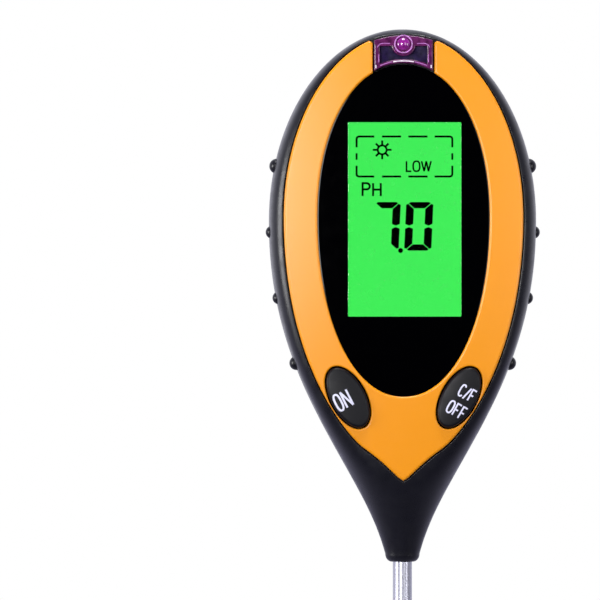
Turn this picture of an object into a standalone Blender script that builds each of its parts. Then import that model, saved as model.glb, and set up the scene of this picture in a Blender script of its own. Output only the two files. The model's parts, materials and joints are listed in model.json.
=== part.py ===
"""Soil moisture meter: an egg-shaped hand meter on one metal probe.

Frame: the probe tip is the origin, +Z runs up the probe, the face looks along -Y
and +X is to the right as seen from the front. Lengths in this file are in
millimetres; `at` turns them into metres. Heights called `h` start at the neck
face, PROBE_LENGTH above the probe tip.
"""
import math

import bmesh
import bpy
from mathutils import Matrix, Vector

MM = 0.001

# ---------------------------------------------------------------- driving sizes
PROBE_LENGTH = 200.0            # neck face to probe tip
PROBE_RADIUS = 2.2
PROBE_BORE = 1.65
PROBE_TOP = 25.4                # how far the tube runs up inside the head

HEAD_HEIGHT = 122.6
HEAD_HALF_WIDTH = 30.7
WIDEST = 78.6                   # height of the widest line
WALL = 2.2
SEAM = 0.15                     # half of the parting line between the two cases
FRONT_DEPTH = 14.6              # case depth forward of the parting plane
REAR_DEPTH = 26.0               # rear depth before the back is trimmed flat
BACK_FLAT = 22.0                # the flat back plane
EDGE_POWER = 5.0                # how square the head's depth section is
NECK_CORNER = 1.909             # height of the rounded lip at the neck face
NECK_FLAT_RADIUS = 3.0
NUB_RADIUS = 1.5
NUB_SINK = 0.6
NUB_PLANE = -4.0
NUB_HEIGHTS = (91.1, 75.9, 60.8, 45.8)

CROWN_DEPTH = 14.0              # face plate: most forward point
CROWN_CENTRE = 70.0
CROWN_SIDE_DROP = 1.2           # fall of the face from centre line to widest edge
CROWN_END_DROP = 2.75           # fall of the face 50 mm above or below its centre
CROWN_END_REACH = 50.0
PLATE_HALF_WIDTH = 27.5
PLATE_WIDEST = 79.4
PLATE_UPPER_REACH = 42.2
PLATE_TOP = 120.3
PLATE_TIP = 18.15
PLATE_TIP_ROUND = 0.6
PLATE_BACK = -9.0
PLATE_EDGE = 0.55               # edge rounding of the face plate
FLOOR_FRONT = -8.9              # case floor behind the plate
FLOOR_BACK = -7.0

WINDOW_HALF_WIDTH = 19.7
WINDOW_CENTRE = 79.35
WINDOW_UP = 35.0
WINDOW_DOWN = 41.2
WINDOW_POWER = 2.1
WINDOW_LEDGE = 1.8
WINDOW_BACK = -10.6
WINDOW_SINK = 0.15
LEDGE_FRONT = -10.3

LENS_HALF_WIDTH = 6.75
LENS_PROUD = 0.3
LENS_TOP_INSET = 1.5
WINDOW_TO_LENS = 0.35
DOME_RADIUS = 2.25
DOME_HEIGHT = 119.05
DOME_PLANE = -11.5

KEY_X = 12.76
KEY_H = 37.9
KEY_LONG = 7.55                 # half of the long axis
KEY_SHORT = 3.95
KEY_TILT = math.radians(28.5)   # lean of the long axis away from vertical
KEY_ORIGIN_Y = -5.4

KEY_STACK = (                   # key sections: growth along, growth across, y
    (-3.35, -1.55, -5.0), (-3.35, -1.55, -5.4), (0.85, 0.85, -5.4), (0.85, 0.85, -6.5),
    (0.0, 0.0, -6.5), (0.0, 0.0, -12.75), (-0.25, -0.25, -13.1), (-0.8, -0.8, -13.35),
    (-2.6, -2.0, -13.55), (-6.4, -3.4, -13.6),
)
WEB_RINGS = (                   # the thin skin round the key's foot, same columns
    (1.75, 1.65, -3.55), (1.75, 1.65, -4.1), (-0.45, -0.45, -5.3), (-1.05, -1.05, -5.3),
    (0.95, 0.9, -3.9), (1.0, 0.95, -3.55),
)
WEB_ORIGIN_Y = -3.6
PILL_FRONT = -4.92
PILL_BACK = -4.5
MAT_FRONT = -4.3
MAT_INSET = 2.7
MAT_BOTTOM = 27.4
MAT_TOP = 48.3

BOARD_FRONT = -3.4
BOARD_BACK = -1.8
BOARD_INSET = 2.9
BOARD_BOTTOM = 26.5
BOARD_TOP = 118.4
ON_BOARD = 0.1                  # gap between the board and what sits on it
DIODE_HEIGHT = 117.0
DIODE_PROFILE = ((1.6, BOARD_FRONT - ON_BOARD), (1.6, -7.2), (1.35, -8.1), (0.8, -8.6))

LCD_CENTRE = 78.8
LCD_VIEW = (26.0, 44.9)
LCD_GLASS = (31.0, 51.6)
LCD_FRONT = -8.2
LCD_BACK = -6.3
HOLDER = (34.0, 55.0)
HOLDER_FRONT = -8.8
BACKLIGHT = (28.4, 45.8)
BACKLIGHT_BACK = -3.9
ZEBRA_REACH = 24.4              # display centre to the middle of each contact strip
ZEBRA = (27.0, 2.0)

BATTERY = (26.5, 17.5, 48.5)    # 6F22 block
BATTERY_FRONT = 1.2
BATTERY_BOTTOM = 51.0
BATTERY_ROUND = 2.2             # corner radius of the block
TERMINALS = ((-6.35, 2.9), (6.35, 3.6))   # x and radius of the two studs
TERMINAL_HEIGHT = 2.5
SNAP_HALF_DEPTH = 5.2
SNAP_LOW = 2.9                  # clip plate, above the top of the block
SNAP_HIGH = 4.3

DOOR_HALF_WIDTH = 14.2
DOOR_BOTTOM = 49.0
DOOR_TOP = 105.0
DOOR_FRONT = 19.6
DOOR_GAP = 0.35
HINGE_Y = 20.8
HINGE_H = 50.2
HINGE_STUD = 0.5
HINGE_STUD_END = 15.3
LATCH_HALF_WIDTH = 4.0
GRIP_LINES = 4
GRIP_PITCH = 2.2
WELL_HALF_WIDTH = 13.7
WELL_FRONT = 1.0
WELL_WALL = 1.4
FOAM_HALF_WIDTH = 9.0
FOAM_FRONT = 18.9
FOAM_SPAN = (62.0, 88.0)

COLLAR_RADIUS = 3.8             # brass collar that locks the probe in the neck
COLLAR_SPAN = (11.1, 14.3)
SEAL_RADIUS = 3.0               # O-ring: centre radius, section radius, height
SEAL_SECTION = 0.66
SEAL_HEIGHT = 6.5
TIP_LENGTH = 14.0
TIP_TAPER = 8.5
TIP_POINT = 0.5
INSULATOR_LENGTH = 3.0
ELECTRODE_LENGTH = 34.0
SPIGOT_RADIUS = 1.2             # insulator spigot inside the solid tip
UPPER_BORE = 1.15               # wire passage through the upper insulator
HAIRLINE = 0.05                 # joint between neighbouring probe sections
BEAD_HEIGHT = 9.0               # thermistor above the lower insulator

GAP = 0.3                       # running clearance
REACH = 40.0                    # how far cutters run past the part they cut
SLIVER = 0.02                   # points closer than this are merged after a cut
SHARP_ANGLE = math.radians(32.0)
CORNER_START = 0.6              # wires leave their straight runs this far along
LEAST = 0.05                    # smallest half width or depth of a case section
DEPTH_BLEND = 6.0               # how tightly width limits the head's depth
FACE_BLEND = 16.0               # how tightly the crown trims the front
ROUND_UNTIL = 10.0              # the neck's round section ends here
SQUARE_OVER = 36.0              # and turns square over this height

# Outline controls of the head below its widest line, as (half width, height).
HEAD_LOWER = ((30.7, 78.0), (30.7, 49.65), (18.66, 32.5), (9.9, 16.12))
HEAD_NECK = ((9.9, 16.12), (5.68, 8.23), (4.72, 4.33), (3.99, 1.909))
# The same for the face plate: the flank and then the S-shaped shoulder.
PLATE_LOWER = ((27.5, 79.4), (27.5, 61.73), (23.38, 43.02), (12.28, 29.46))
PLATE_SHOULDER = ((12.28, 29.46), (8.45, 24.77), (8.01, 26.62), (0.0, 18.15))

# Screws that join the cases: x, h, depth of the head's seat, front and rear post radius.
CASE_SCREWS = {
    "case_screw_upper_left": (-22.2, 97.0, 7.5, 2.8, 3.0),
    "case_screw_upper_right": (22.2, 97.0, 7.5, 2.8, 3.0),
    "case_screw_lower_left": (-7.0, 22.5, 4.6, 2.4, 2.9),
    "case_screw_lower_right": (7.0, 22.5, 4.6, 2.4, 2.9),
}
CASE_PILOT = 1.4
CASE_RECESS = 2.4
CASE_HEAD = (2.05, 1.05, 1.7)   # head radius, shank radius, head height
BOARD_SCREWS = {
    "board_screw_upper_left": (-11.0, 110.6),
    "board_screw_upper_right": (11.0, 110.6),
    "board_screw_lower": (0.0, 47.8),
}
BOARD_POST = 2.0
BOARD_PILOT = 1.15
BOARD_HEAD = (1.9, 0.85, 1.2)
PILOT_END = -6.7
SHANK_END = -6.2


# ---------------------------------------------------------------- small helpers
def at(x, y, h):
    """A point in metres from millimetres, with h measured from the neck face."""
    return Vector((x * MM, y * MM, (PROBE_LENGTH + h) * MM))


def linear(red, green, blue):
    """Scene-linear colour from 0..255 display values."""
    out = []
    for value in (red, green, blue):
        c = value / 255.0
        out.append(c / 12.92 if c <= 0.04045 else ((c + 0.055) / 1.055) ** 2.4)
    return out


def material(name, colour, roughness, metallic=0.0):
    mat = bpy.data.materials.new(name)
    mat.use_nodes = True
    shader = mat.node_tree.nodes["Principled BSDF"]
    shader.inputs["Base Color"].default_value = (*linear(*colour), 1.0)
    shader.inputs["Roughness"].default_value = roughness
    shader.inputs["Metallic"].default_value = metallic
    mat.diffuse_color = (*linear(*colour), 1.0)
    return mat


def build(name, verts, faces):
    """A mesh object with outward faces, smooth except at real edges."""
    mesh = bpy.data.meshes.new(name)
    mesh.from_pydata([tuple(v) for v in verts], [], faces)
    bm = bmesh.new()
    bm.from_mesh(mesh)
    bmesh.ops.remove_doubles(bm, verts=bm.verts, dist=1e-7)
    bmesh.ops.recalc_face_normals(bm, faces=bm.faces)
    bm.to_mesh(mesh)
    bm.free()
    obj = bpy.data.objects.new(name, mesh)
    bpy.context.scene.collection.objects.link(obj)
    return obj


def finish(obj, mat):
    """Give the object its material and smooth shading."""
    obj.data.materials.clear()
    obj.data.materials.append(mat)
    obj.data.polygons.foreach_set("material_index", [0] * len(obj.data.polygons))
    obj.data.polygons.foreach_set("use_smooth", [True] * len(obj.data.polygons))
    obj.data.set_sharp_from_angle(angle=SHARP_ANGLE)
    return obj


def clear_slivers(mesh):
    """Merge the near-coincident points a Boolean can leave behind."""
    bm = bmesh.new()
    bm.from_mesh(mesh)
    bmesh.ops.remove_doubles(bm, verts=bm.verts, dist=SLIVER * MM)
    bmesh.ops.dissolve_degenerate(bm, edges=bm.edges, dist=SLIVER * MM)
    bm.to_mesh(mesh)
    bm.free()


def combine(target, tool, operation):
    """Apply one exact Boolean, clean the result and drop the tool."""
    modifier = target.modifiers.new("combine", "BOOLEAN")
    modifier.operation = operation
    modifier.solver = "EXACT"
    modifier.object = tool
    graph = bpy.context.evaluated_depsgraph_get()
    mesh = bpy.data.meshes.new_from_object(target.evaluated_get(graph))
    target.modifiers.clear()
    old = target.data
    target.data = mesh
    bpy.data.meshes.remove(old)
    mesh.name = target.name
    clear_slivers(mesh)
    spent = tool.data
    bpy.data.objects.remove(tool)
    bpy.data.meshes.remove(spent)
    return target


def cut(target, tool):
    return combine(target, tool, "DIFFERENCE")


def join(target, tool):
    return combine(target, tool, "UNION")


def set_origin(obj, point):
    """Move the object's origin without moving its surface."""
    obj.data.transform(Matrix.Translation(-point))
    obj.location = point
    return obj


def loft(name, loops):
    """Close a stack of equal-length loops into one solid."""
    count = len(loops[0])
    verts = [point for loop in loops for point in loop]
    faces = []
    for level in range(len(loops) - 1):
        base = level * count
        for i in range(count):
            j = (i + 1) % count
            faces.append((base + i, base + j, base + count + j, base + count + i))
    faces.append(tuple(range(count)))
    last = (len(loops) - 1) * count
    faces.append(tuple(range(last, last + count)))
    return build(name, verts, faces)


def ring(name, loops):
    """Close a cycle of equal-length loops into one ring-shaped solid."""
    count = len(loops[0])
    verts = [point for loop in loops for point in loop]
    faces = []
    for k in range(len(loops)):
        a = k * count
        b = ((k + 1) % len(loops)) * count
        for i in range(count):
            j = (i + 1) % count
            faces.append((a + i, a + j, b + j, b + i))
    return build(name, verts, faces)


def prism(name, outline, y_front, y_back):
    """Extrude an (x, h) outline along Y."""
    return loft(name, [[at(x, y, h) for x, h in outline] for y in (y_front, y_back)])


def ring_prism(name, outer, inner, y_front, y_back):
    """Extrude the band between two equal-length (x, h) outlines along Y."""
    corners = ((outer, y_front), (outer, y_back), (inner, y_back), (inner, y_front))
    return ring(name, [[at(x, y, h) for x, h in outline] for outline, y in corners])


def box(name, x0, x1, y0, y1, h0, h1):
    return prism(name, ((x0, h0), (x1, h0), (x1, h1), (x0, h1)), y0, y1)


def circle(x, h, radius, count):
    step = 2.0 * math.pi / count
    return [(x + radius * math.cos(i * step), h + radius * math.sin(i * step)) for i in range(count)]


def rod_y(name, x, h, radius, y_front, y_back, count=16):
    return prism(name, circle(x, h, radius, count), y_front, y_back)


def rod_x(name, x0, x1, y, h, radius, count=14):
    step = 2.0 * math.pi / count
    loops = []
    for x in (x0, x1):
        loops.append([at(x, y + radius * math.cos(i * step), h + radius * math.sin(i * step))
                      for i in range(count)])
    return loft(name, loops)


def turned(name, profile, count=24, x=0.0, y=0.0):
    """Revolve a closed (radius, h) profile about a vertical line; radius 0 is a pole."""
    verts = []
    rows = []
    for radius, h in profile:
        if radius == 0.0:
            rows.append([len(verts)])
            verts.append(at(x, y, h))
            continue
        row = []
        for i in range(count):
            angle = 2.0 * math.pi * i / count
            row.append(len(verts))
            verts.append(at(x + radius * math.cos(angle), y + radius * math.sin(angle), h))
        rows.append(row)
    faces = []
    for k, row in enumerate(rows):
        other = rows[(k + 1) % len(rows)]
        if len(row) == 1 and len(other) == 1:
            continue
        for i in range(count):
            j = (i + 1) % count
            if len(row) == 1:
                faces.append((row[0], other[j], other[i]))
            elif len(other) == 1:
                faces.append((row[i], row[j], other[0]))
            else:
                faces.append((row[i], row[j], other[j], other[i]))
    return build(name, verts, faces)


def ball(name, x, y, h, radius, count=12, rows=8):
    profile = []
    for k in range(rows + 1):
        angle = -math.pi / 2.0 + math.pi * k / rows
        spread = 0.0 if k in (0, rows) else radius * math.cos(angle)
        profile.append((spread, h + radius * math.sin(angle)))
    return turned(name, profile, count, x, y)


def wire(name, points, radius, count=6):
    """Sweep a round section along a list of (x, y, h) points."""
    path = [at(*point) for point in points]
    tangents = []
    for i in range(len(path)):
        before = path[max(i - 1, 0)]
        after = path[min(i + 1, len(path) - 1)]
        tangents.append((after - before).normalized())
    side = tangents[0].orthogonal().normalized()
    loops = []
    for centre, tangent in zip(path, tangents):
        side = (side - tangent * side.dot(tangent)).normalized()
        up = tangent.cross(side)
        loop = []
        for i in range(count):
            angle = 2.0 * math.pi * i / count
            loop.append(centre + (side * math.cos(angle) + up * math.sin(angle)) * radius * MM)
        loops.append(loop)
    return loft(name, loops)


def rounded_path(points, steps=3):
    """Round the corners of a path of (x, y, h) points; both ends stay where they are."""
    corners = [Vector(point) for point in points]
    out = [corners[0]]
    for before, corner, after in zip(corners, corners[1:], corners[2:]):
        start = before.lerp(corner, CORNER_START)
        end = corner.lerp(after, 1.0 - CORNER_START)
        for k in range(steps + 1):
            t = k / steps
            out.append(start.lerp(corner, t).lerp(corner.lerp(end, t), t))
    out.append(corners[-1])
    return [tuple(point) for point in out]


def smooth_min(a, b, power):
    if a <= 0.0:
        return 0.0
    return (a ** -power + b ** -power) ** (-1.0 / power)


def smooth_step(value):
    t = min(max(value, 0.0), 1.0)
    return t * t * (3.0 - 2.0 * t)


def bezier(controls, t):
    weights = ((1 - t) ** 3, 3 * t * (1 - t) ** 2, 3 * t * t * (1 - t), t ** 3)
    width = sum(w * point[0] for w, point in zip(weights, controls))
    height = sum(w * point[1] for w, point in zip(weights, controls))
    return width, height


def bezier_width(controls, h):
    """Half width of a falling Bezier outline at height h."""
    low, high = 0.0, 1.0
    for _ in range(40):
        middle = (low + high) / 2.0
        if bezier(controls, middle)[1] > h:
            low = middle
        else:
            high = middle
    return bezier(controls, low)[0]


# ---------------------------------------------------------------- head surfaces
def head_width(h, inset=0.0):
    """Half width of the head at height h, drawn in by `inset`."""
    if h >= HEAD_LOWER[0][1]:
        rise = max(h - WIDEST, 0.0) / (HEAD_HEIGHT - WIDEST - inset)
        return (HEAD_HALF_WIDTH - inset) * math.sqrt(max(1.0 - rise * rise, 0.0))
    if h >= HEAD_LOWER[3][1]:
        return bezier_width(HEAD_LOWER, h) - inset
    if h >= NECK_CORNER:
        return bezier_width(HEAD_NECK, h) - inset
    drop = (NECK_CORNER - h) / NECK_CORNER
    lip = HEAD_NECK[3][0] - NECK_FLAT_RADIUS
    return NECK_FLAT_RADIUS + lip * math.sqrt(1.0 - drop * drop) - inset


def head_depth(h, limit, inset=0.0):
    """Depth of the head at height h before the front crown or flat back trims it."""
    width = head_width(h) if h < WIDEST else HEAD_HALF_WIDTH
    depth = smooth_min(width, limit, DEPTH_BLEND) - inset
    if h <= WIDEST:
        return depth
    rise = (h - WIDEST) / (HEAD_HEIGHT - WIDEST - inset)
    return depth * max(1.0 - rise ** EDGE_POWER, 0.0) ** (1.0 / EDGE_POWER)


def section_power(h):
    """Round section at the neck, squarer section in the head."""
    return 2.0 + (EDGE_POWER - 2.0) * smooth_step((h - ROUND_UNTIL) / SQUARE_OVER)


def crown(x, h):
    """Distance of the face plate's front surface from the parting plane."""
    side = CROWN_SIDE_DROP * (x / PLATE_HALF_WIDTH) ** 2
    end = CROWN_END_DROP * ((h - CROWN_CENTRE) / CROWN_END_REACH) ** 2
    return CROWN_DEPTH - side - end


def half_loop(h, side, inset, seam, crowned, count):
    """One closed loop of a case half: an arc and its chord on the parting plane."""
    width = max(head_width(h, inset), LEAST)
    depth = max(head_depth(h, REAR_DEPTH if side > 0 else FRONT_DEPTH, inset), LEAST)
    power = 2.0 / section_power(h)
    loop = []
    for i in range(count + 1):
        angle = math.pi * i / count
        spread = abs(math.cos(angle)) ** power
        reach = math.sin(angle) ** power if 0 < i < count else 0.0
        x = math.copysign(width * spread, math.cos(angle))
        y = depth * reach
        if crowned:
            y = smooth_min(y, crown(x, h), FACE_BLEND)
        y = max(y, seam) if 0 < i < count else seam
        loop.append(at(x, side * y, h))
    return loop


OUTER_LEVELS = (0.0, 0.25, 0.8, 1.91, 4.0, 6.8, 10.0, 14.0, 18.5, 24.0, 30.0, 37.0, 45.0, 54.0, 66.0,
                78.6, 90.0, 100.0, 107.5, 113.0, 117.0, 119.6, 121.2, 122.1, 122.54)
INNER_LEVELS = (17.5, 21.0, 26.0, 32.0, 40.0, 50.0, 63.0, 78.6, 92.0, 103.0, 110.5, 115.5, 118.4,
                119.8, 120.3)


def trimmed(solid, side, depth):
    """Cut a case solid off flat at `depth` from the parting plane."""
    near, far = sorted((side * depth, side * REACH))
    return cut(solid, box("trim", -REACH, REACH, near, far, -REACH, HEAD_HEIGHT + REACH))


def outer_half(name, side):
    return loft(name, [half_loop(h, side, 0.0, SEAM, side < 0, 20) for h in OUTER_LEVELS])


def inner_half(name, side, depth):
    """The cavity of one case half, run past the parting plane so it cuts cleanly."""
    cavity = loft(name, [half_loop(h, side, WALL, -1.0, False, 14) for h in INNER_LEVELS])
    return trimmed(cavity, side, depth)


# ---------------------------------------------------------------- flat outlines
def egg(grow=0.0, count=44):
    """Outline of the display window, grown by `grow`."""
    power = 2.0 / WINDOW_POWER
    points = []
    for i in range(count):
        angle = 2.0 * math.pi * (i + 0.5) / count
        c, s = math.cos(angle), math.sin(angle)
        reach = WINDOW_UP if s > 0 else WINDOW_DOWN
        x = math.copysign((WINDOW_HALF_WIDTH + grow) * abs(c) ** power, c)
        h = WINDOW_CENTRE + math.copysign((reach + grow) * abs(s) ** power, s)
        points.append((x, h))
    return points


def egg_top(x, grow=0.0):
    """Height of the window's upper edge at x."""
    part = abs(x) / (WINDOW_HALF_WIDTH + grow)
    return WINDOW_CENTRE + (WINDOW_UP + grow) * (1.0 - part ** WINDOW_POWER) ** (1.0 / WINDOW_POWER)


def grown(points, distance):
    """Offset a closed counter-clockwise outline outward by `distance`."""
    out = []
    count = len(points)
    for i in range(count):
        before = Vector(points[i - 1])
        here = Vector(points[i])
        after = Vector(points[(i + 1) % count])
        first = (here - before).normalized()
        second = (after - here).normalized()
        normal = Vector((first.y + second.y, -first.x - second.x))
        normal = normal / max(normal.length_squared / 2.0, 0.5)
        out.append(tuple(here + normal * distance))
    return out


def plate_outline():
    """Counter-clockwise outline of the face plate, from its lower tip."""
    right = []
    for k in range(6, 0, -1):
        x, h = bezier(PLATE_SHOULDER, k / 7.0)
        right.append((x, PLATE_TIP + math.hypot(h - PLATE_TIP, PLATE_TIP_ROUND)))
    for k in range(10, 0, -1):
        right.append(bezier(PLATE_LOWER, k / 10.0))
    corner = math.asin((PLATE_TOP - PLATE_WIDEST) / PLATE_UPPER_REACH)
    for k in range(10):
        angle = corner * k / 9.0
        right.append((PLATE_HALF_WIDTH * math.cos(angle),
                      PLATE_WIDEST + PLATE_UPPER_REACH * math.sin(angle)))
    tip = [(0.0, PLATE_TIP + PLATE_TIP_ROUND)]
    left = [(-x, h) for x, h in reversed(right)]
    return tip + right + left


def lens_lower(grow=0.0, count=8):
    """Lower edge of the sensor lens, left to right: it runs along the window."""
    half = LENS_HALF_WIDTH + grow
    steps = [-half + 2.0 * half * k / count for k in range(count + 1)]
    return [(x, egg_top(x, WINDOW_TO_LENS - grow)) for x in steps]


def lens_outline(grow=0.0):
    """Outline of the sensor lens; its upper edge runs along the head."""
    inset = LENS_TOP_INSET - grow
    lower = lens_lower(grow)
    upper = []
    for x, _ in reversed(lower):
        fall = math.sqrt(1.0 - (x / (HEAD_HALF_WIDTH - inset)) ** 2)
        upper.append((x, WIDEST + (HEAD_HEIGHT - WIDEST - inset) * fall))
    return lower + upper


def lens_notch():
    """Cut-out for the lens in the face plate, open at the top."""
    lower = lens_lower(GAP)
    half = LENS_HALF_WIDTH + GAP
    return lower + [(half, HEAD_HEIGHT), (-half, HEAD_HEIGHT)]


def key_outline(side, grow_long, grow_short=None, count=24):
    """Leaning ellipse around one key centre; side -1 is the left key."""
    grow_short = grow_long if grow_short is None else grow_short
    long_axis = Vector((side * math.sin(KEY_TILT), math.cos(KEY_TILT)))
    short_axis = Vector((-long_axis.y, long_axis.x))
    points = []
    for i in range(count):
        angle = 2.0 * math.pi * i / count
        offset = (long_axis * (KEY_LONG + grow_long) * math.sin(angle)
                  - short_axis * (KEY_SHORT + grow_short) * math.cos(angle))
        points.append((side * KEY_X + offset.x, KEY_H + offset.y))
    return points


def head_outline(inset, bottom, top, steps):
    """Closed outline that follows the head between two heights, drawn in by `inset`."""
    right = []
    for k in range(steps + 1):
        part = 0.5 - 0.5 * math.cos(math.pi * k / steps)
        h = bottom + (top - bottom) * part
        right.append((head_width(h, inset), h))
    left = [(-x, h) for x, h in reversed(right)]
    return right + left


# ---------------------------------------------------------------- clear the file
for leftover in list(bpy.data.objects):
    bpy.data.objects.remove(leftover)

ORANGE = material("orange_shell", (250, 165, 40), 0.38)
BLACK = material("black_shell", (34, 34, 42), 0.34)
WINDOW = material("window_black", (6, 6, 8), 0.06)
LENS = material("lens_violet", (96, 42, 104), 0.12)
KEY = material("key_rubber", (30, 29, 36), 0.6)
GREY_RUBBER = material("grey_rubber", (120, 122, 124), 0.75)
NECK_RUBBER = material("neck_rubber", (20, 20, 22), 0.6)
CARBON = material("carbon", (26, 26, 26), 0.7)
BOARD = material("board_green", (22, 92, 52), 0.45)
CHIP = material("chip_black", (24, 24, 26), 0.5)
LCD = material("lcd_green", (68, 245, 93), 0.2)
DIFFUSER = material("diffuser_white", (236, 238, 236), 0.4)
HOLDER_BLACK = material("holder_black", (20, 20, 22), 0.55)
STEEL = material("probe_steel", (190, 190, 203), 0.22, 1.0)
SCREW = material("screw_steel", (150, 150, 156), 0.3, 1.0)
COPPER = material("copper", (184, 115, 66), 0.3, 1.0)
BRASS = material("brass", (190, 155, 80), 0.3, 1.0)
INSULATOR = material("insulator", (28, 28, 30), 0.5)
CELL = material("battery_jacket", (42, 74, 140), 0.35)
FOAM = material("foam_grey", (84, 86, 90), 0.95)
RED_WIRE = material("wire_red", (190, 28, 28), 0.45)
BLACK_WIRE = material("wire_black", (20, 20, 20), 0.45)
EPOXY = material("epoxy_dark", (36, 34, 40), 0.4)


# ---------------------------------------------------------------- the two cases
def cut_neck(case):
    """Probe bore, seal groove and collar pocket, shared by both halves."""
    bore = PROBE_RADIUS + GAP
    groove = SEAL_RADIUS + SEAL_SECTION + 0.14
    groove_low, groove_high = SEAL_HEIGHT - 1.0, SEAL_HEIGHT + 1.0
    pocket = COLLAR_RADIUS + GAP
    pocket_low, pocket_high = COLLAR_SPAN[0] - GAP, COLLAR_SPAN[1] + GAP
    below, above = -2.0, 20.0
    cut(case, turned("bore", (
        (0.0, below), (bore, below), (bore, groove_low), (groove, groove_low),
        (groove, groove_high), (bore, groove_high), (bore, pocket_low), (pocket, pocket_low),
        (pocket, pocket_high), (bore, pocket_high), (bore, above), (0.0, above)), 20))


def make_front_case():
    cavity = inner_half("cavity", -1, -FLOOR_BACK)
    for x, h, _, front_post, _ in CASE_SCREWS.values():
        cut(cavity, rod_y("post", x, h, front_post, -REACH, REACH, 14))
    for x, h in BOARD_SCREWS.values():
        cut(cavity, rod_y("post", x, h, BOARD_POST, -REACH, BOARD_FRONT - ON_BOARD, 12))

    case = outer_half("front_case", -1)
    for h in NUB_HEIGHTS:
        for side in (-1, 1):
            nub_x = side * (head_width(h) - NUB_SINK)
            join(case, ball("nub", nub_x, NUB_PLANE, h, NUB_RADIUS, 10, 6))
    cut(case, cavity)
    cut(case, prism("pocket", grown(plate_outline(), GAP), FLOOR_FRONT, -REACH))
    cut(case, prism("lens_seat", lens_outline(GAP), FLOOR_FRONT, -REACH))

    before, behind = FLOOR_FRONT - 1.0, FLOOR_BACK + 1.0
    half_w, half_h = HOLDER[0] / 2 + 0.4, HOLDER[1] / 2 + 0.4
    cut(case, box("display_opening", -half_w, half_w, before, behind,
                  LCD_CENTRE - half_h, LCD_CENTRE + half_h))
    for side in (-1, 1):
        cut(case, prism("key_opening", key_outline(side, 0.45), before, behind))
    diode_hole = DIODE_PROFILE[0][0] + 0.5
    cut(case, rod_y("diode_hole", 0.0, DIODE_HEIGHT, diode_hole, before, behind, 14))
    for x, h, *_ in CASE_SCREWS.values():
        cut(case, rod_y("pilot", x, h, CASE_PILOT, PILOT_END, 1.0, 10))
    for x, h in BOARD_SCREWS.values():
        cut(case, rod_y("pilot", x, h, BOARD_PILOT, PILOT_END, 1.0, 10))
    cut_neck(case)
    return finish(case, BLACK)


def make_rear_case():
    opening = DOOR_HALF_WIDTH + DOOR_GAP
    low, high = DOOR_BOTTOM - DOOR_GAP, DOOR_TOP + DOOR_GAP
    cavity = inner_half("cavity", 1, BACK_FLAT - WALL)
    cut(cavity, box("well", -opening - WELL_WALL, opening + WELL_WALL, 0.1 + SEAM, REACH,
                    low - WELL_WALL, high + WELL_WALL))
    for x, h, _, _, rear_post in CASE_SCREWS.values():
        cut(cavity, rod_y("post", x, h, rear_post, -REACH, REACH, 16))

    case = trimmed(outer_half("rear_case", 1), 1, BACK_FLAT)
    cut(case, cavity)
    cut(case, box("well_space", -WELL_HALF_WIDTH, WELL_HALF_WIDTH, WELL_FRONT, DOOR_FRONT,
                  low + 1.25, high - 1.05))
    cut(case, box("door_opening", -opening, opening, DOOR_FRONT - 0.4, REACH, low, high))
    latch = LATCH_HALF_WIDTH + DOOR_GAP
    cut(case, box("latch_notch", -latch, latch, HINGE_Y - 1.0, REACH, DOOR_TOP, DOOR_TOP + 1.4))
    cut(case, box("lead_notch", -5.5, 5.5, WELL_FRONT, 4.2, DOOR_TOP - 1.5, DOOR_TOP + 3.0))
    stud_end = HINGE_STUD_END + 0.2
    cut(case, rod_x("hinge_bore", -stud_end, stud_end, HINGE_Y, HINGE_H, HINGE_STUD + GAP, 12))
    for x, h, seat, *_ in CASE_SCREWS.values():
        cut(case, rod_y("recess", x, h, CASE_RECESS, seat, REACH, 16))
        cut(case, rod_y("clearance", x, h, CASE_PILOT, -1.0, seat + 1.0, 10))
    cut_neck(case)
    return finish(case, BLACK)


# ---------------------------------------------------------------- face
def make_face_plate():
    outline = plate_outline()
    eased = grown(outline, -PLATE_EDGE)
    centre = Vector((0.0, CROWN_CENTRE))

    def shrink(factor):
        return [tuple(centre + (Vector(point) - centre) * factor) for point in eased]

    loops = [
        [at(x, PLATE_BACK, h) for x, h in outline],
        [at(x, -crown(x, h) + PLATE_EDGE, h) for x, h in outline],
        [at(x, -crown(x, h) + PLATE_EDGE * 0.3, h) for x, h in grown(outline, -PLATE_EDGE * 0.3)],
    ]
    for factor in (1.0, 0.86, 0.66, 0.4, 0.08):
        loops.append([at(x, -crown(x, h), h) for x, h in shrink(factor)])
    plate = loft("face_plate", loops)
    cut(plate, prism("window_pocket", egg(0.15), LEDGE_FRONT, -REACH))
    cut(plate, prism("window_opening", egg(-WINDOW_LEDGE), -1.0, -REACH))
    cut(plate, prism("lens_notch", lens_notch(), -1.0, -REACH))
    for side in (-1, 1):
        cut(plate, prism("key_opening", key_outline(side, 0.35), -1.0, -REACH))
    return finish(plate, ORANGE)


def make_window():
    loops = [[at(x, WINDOW_BACK, h) for x, h in egg()],
             [at(x, -crown(x, h) + WINDOW_SINK + 0.25, h) for x, h in egg()]]
    centre = Vector((0.0, CROWN_CENTRE))
    rim = egg(-0.3)
    for factor in (1.0, 0.7, 0.35, 0.06):
        scaled = [centre + (Vector(point) - centre) * factor for point in rim]
        loops.append([at(p.x, -crown(p.x, p.y) + WINDOW_SINK, p.y) for p in scaled])
    return finish(loft("display_window", loops), WINDOW)


def make_lens():
    outline = lens_outline()
    eased = grown(outline, -0.4)
    loops = [[at(x, FLOOR_FRONT - 0.1, h) for x, h in outline],
             [at(x, -crown(x, h) - LENS_PROUD + 0.4, h) for x, h in outline],
             [at(x, -crown(x, h) - LENS_PROUD, h) for x, h in eased]]
    lens = loft("sensor_lens", loops)
    join(lens, ball("dome", 0.0, DOME_PLANE, DOME_HEIGHT, DOME_RADIUS, 18, 12))
    return finish(lens, LENS)


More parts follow.
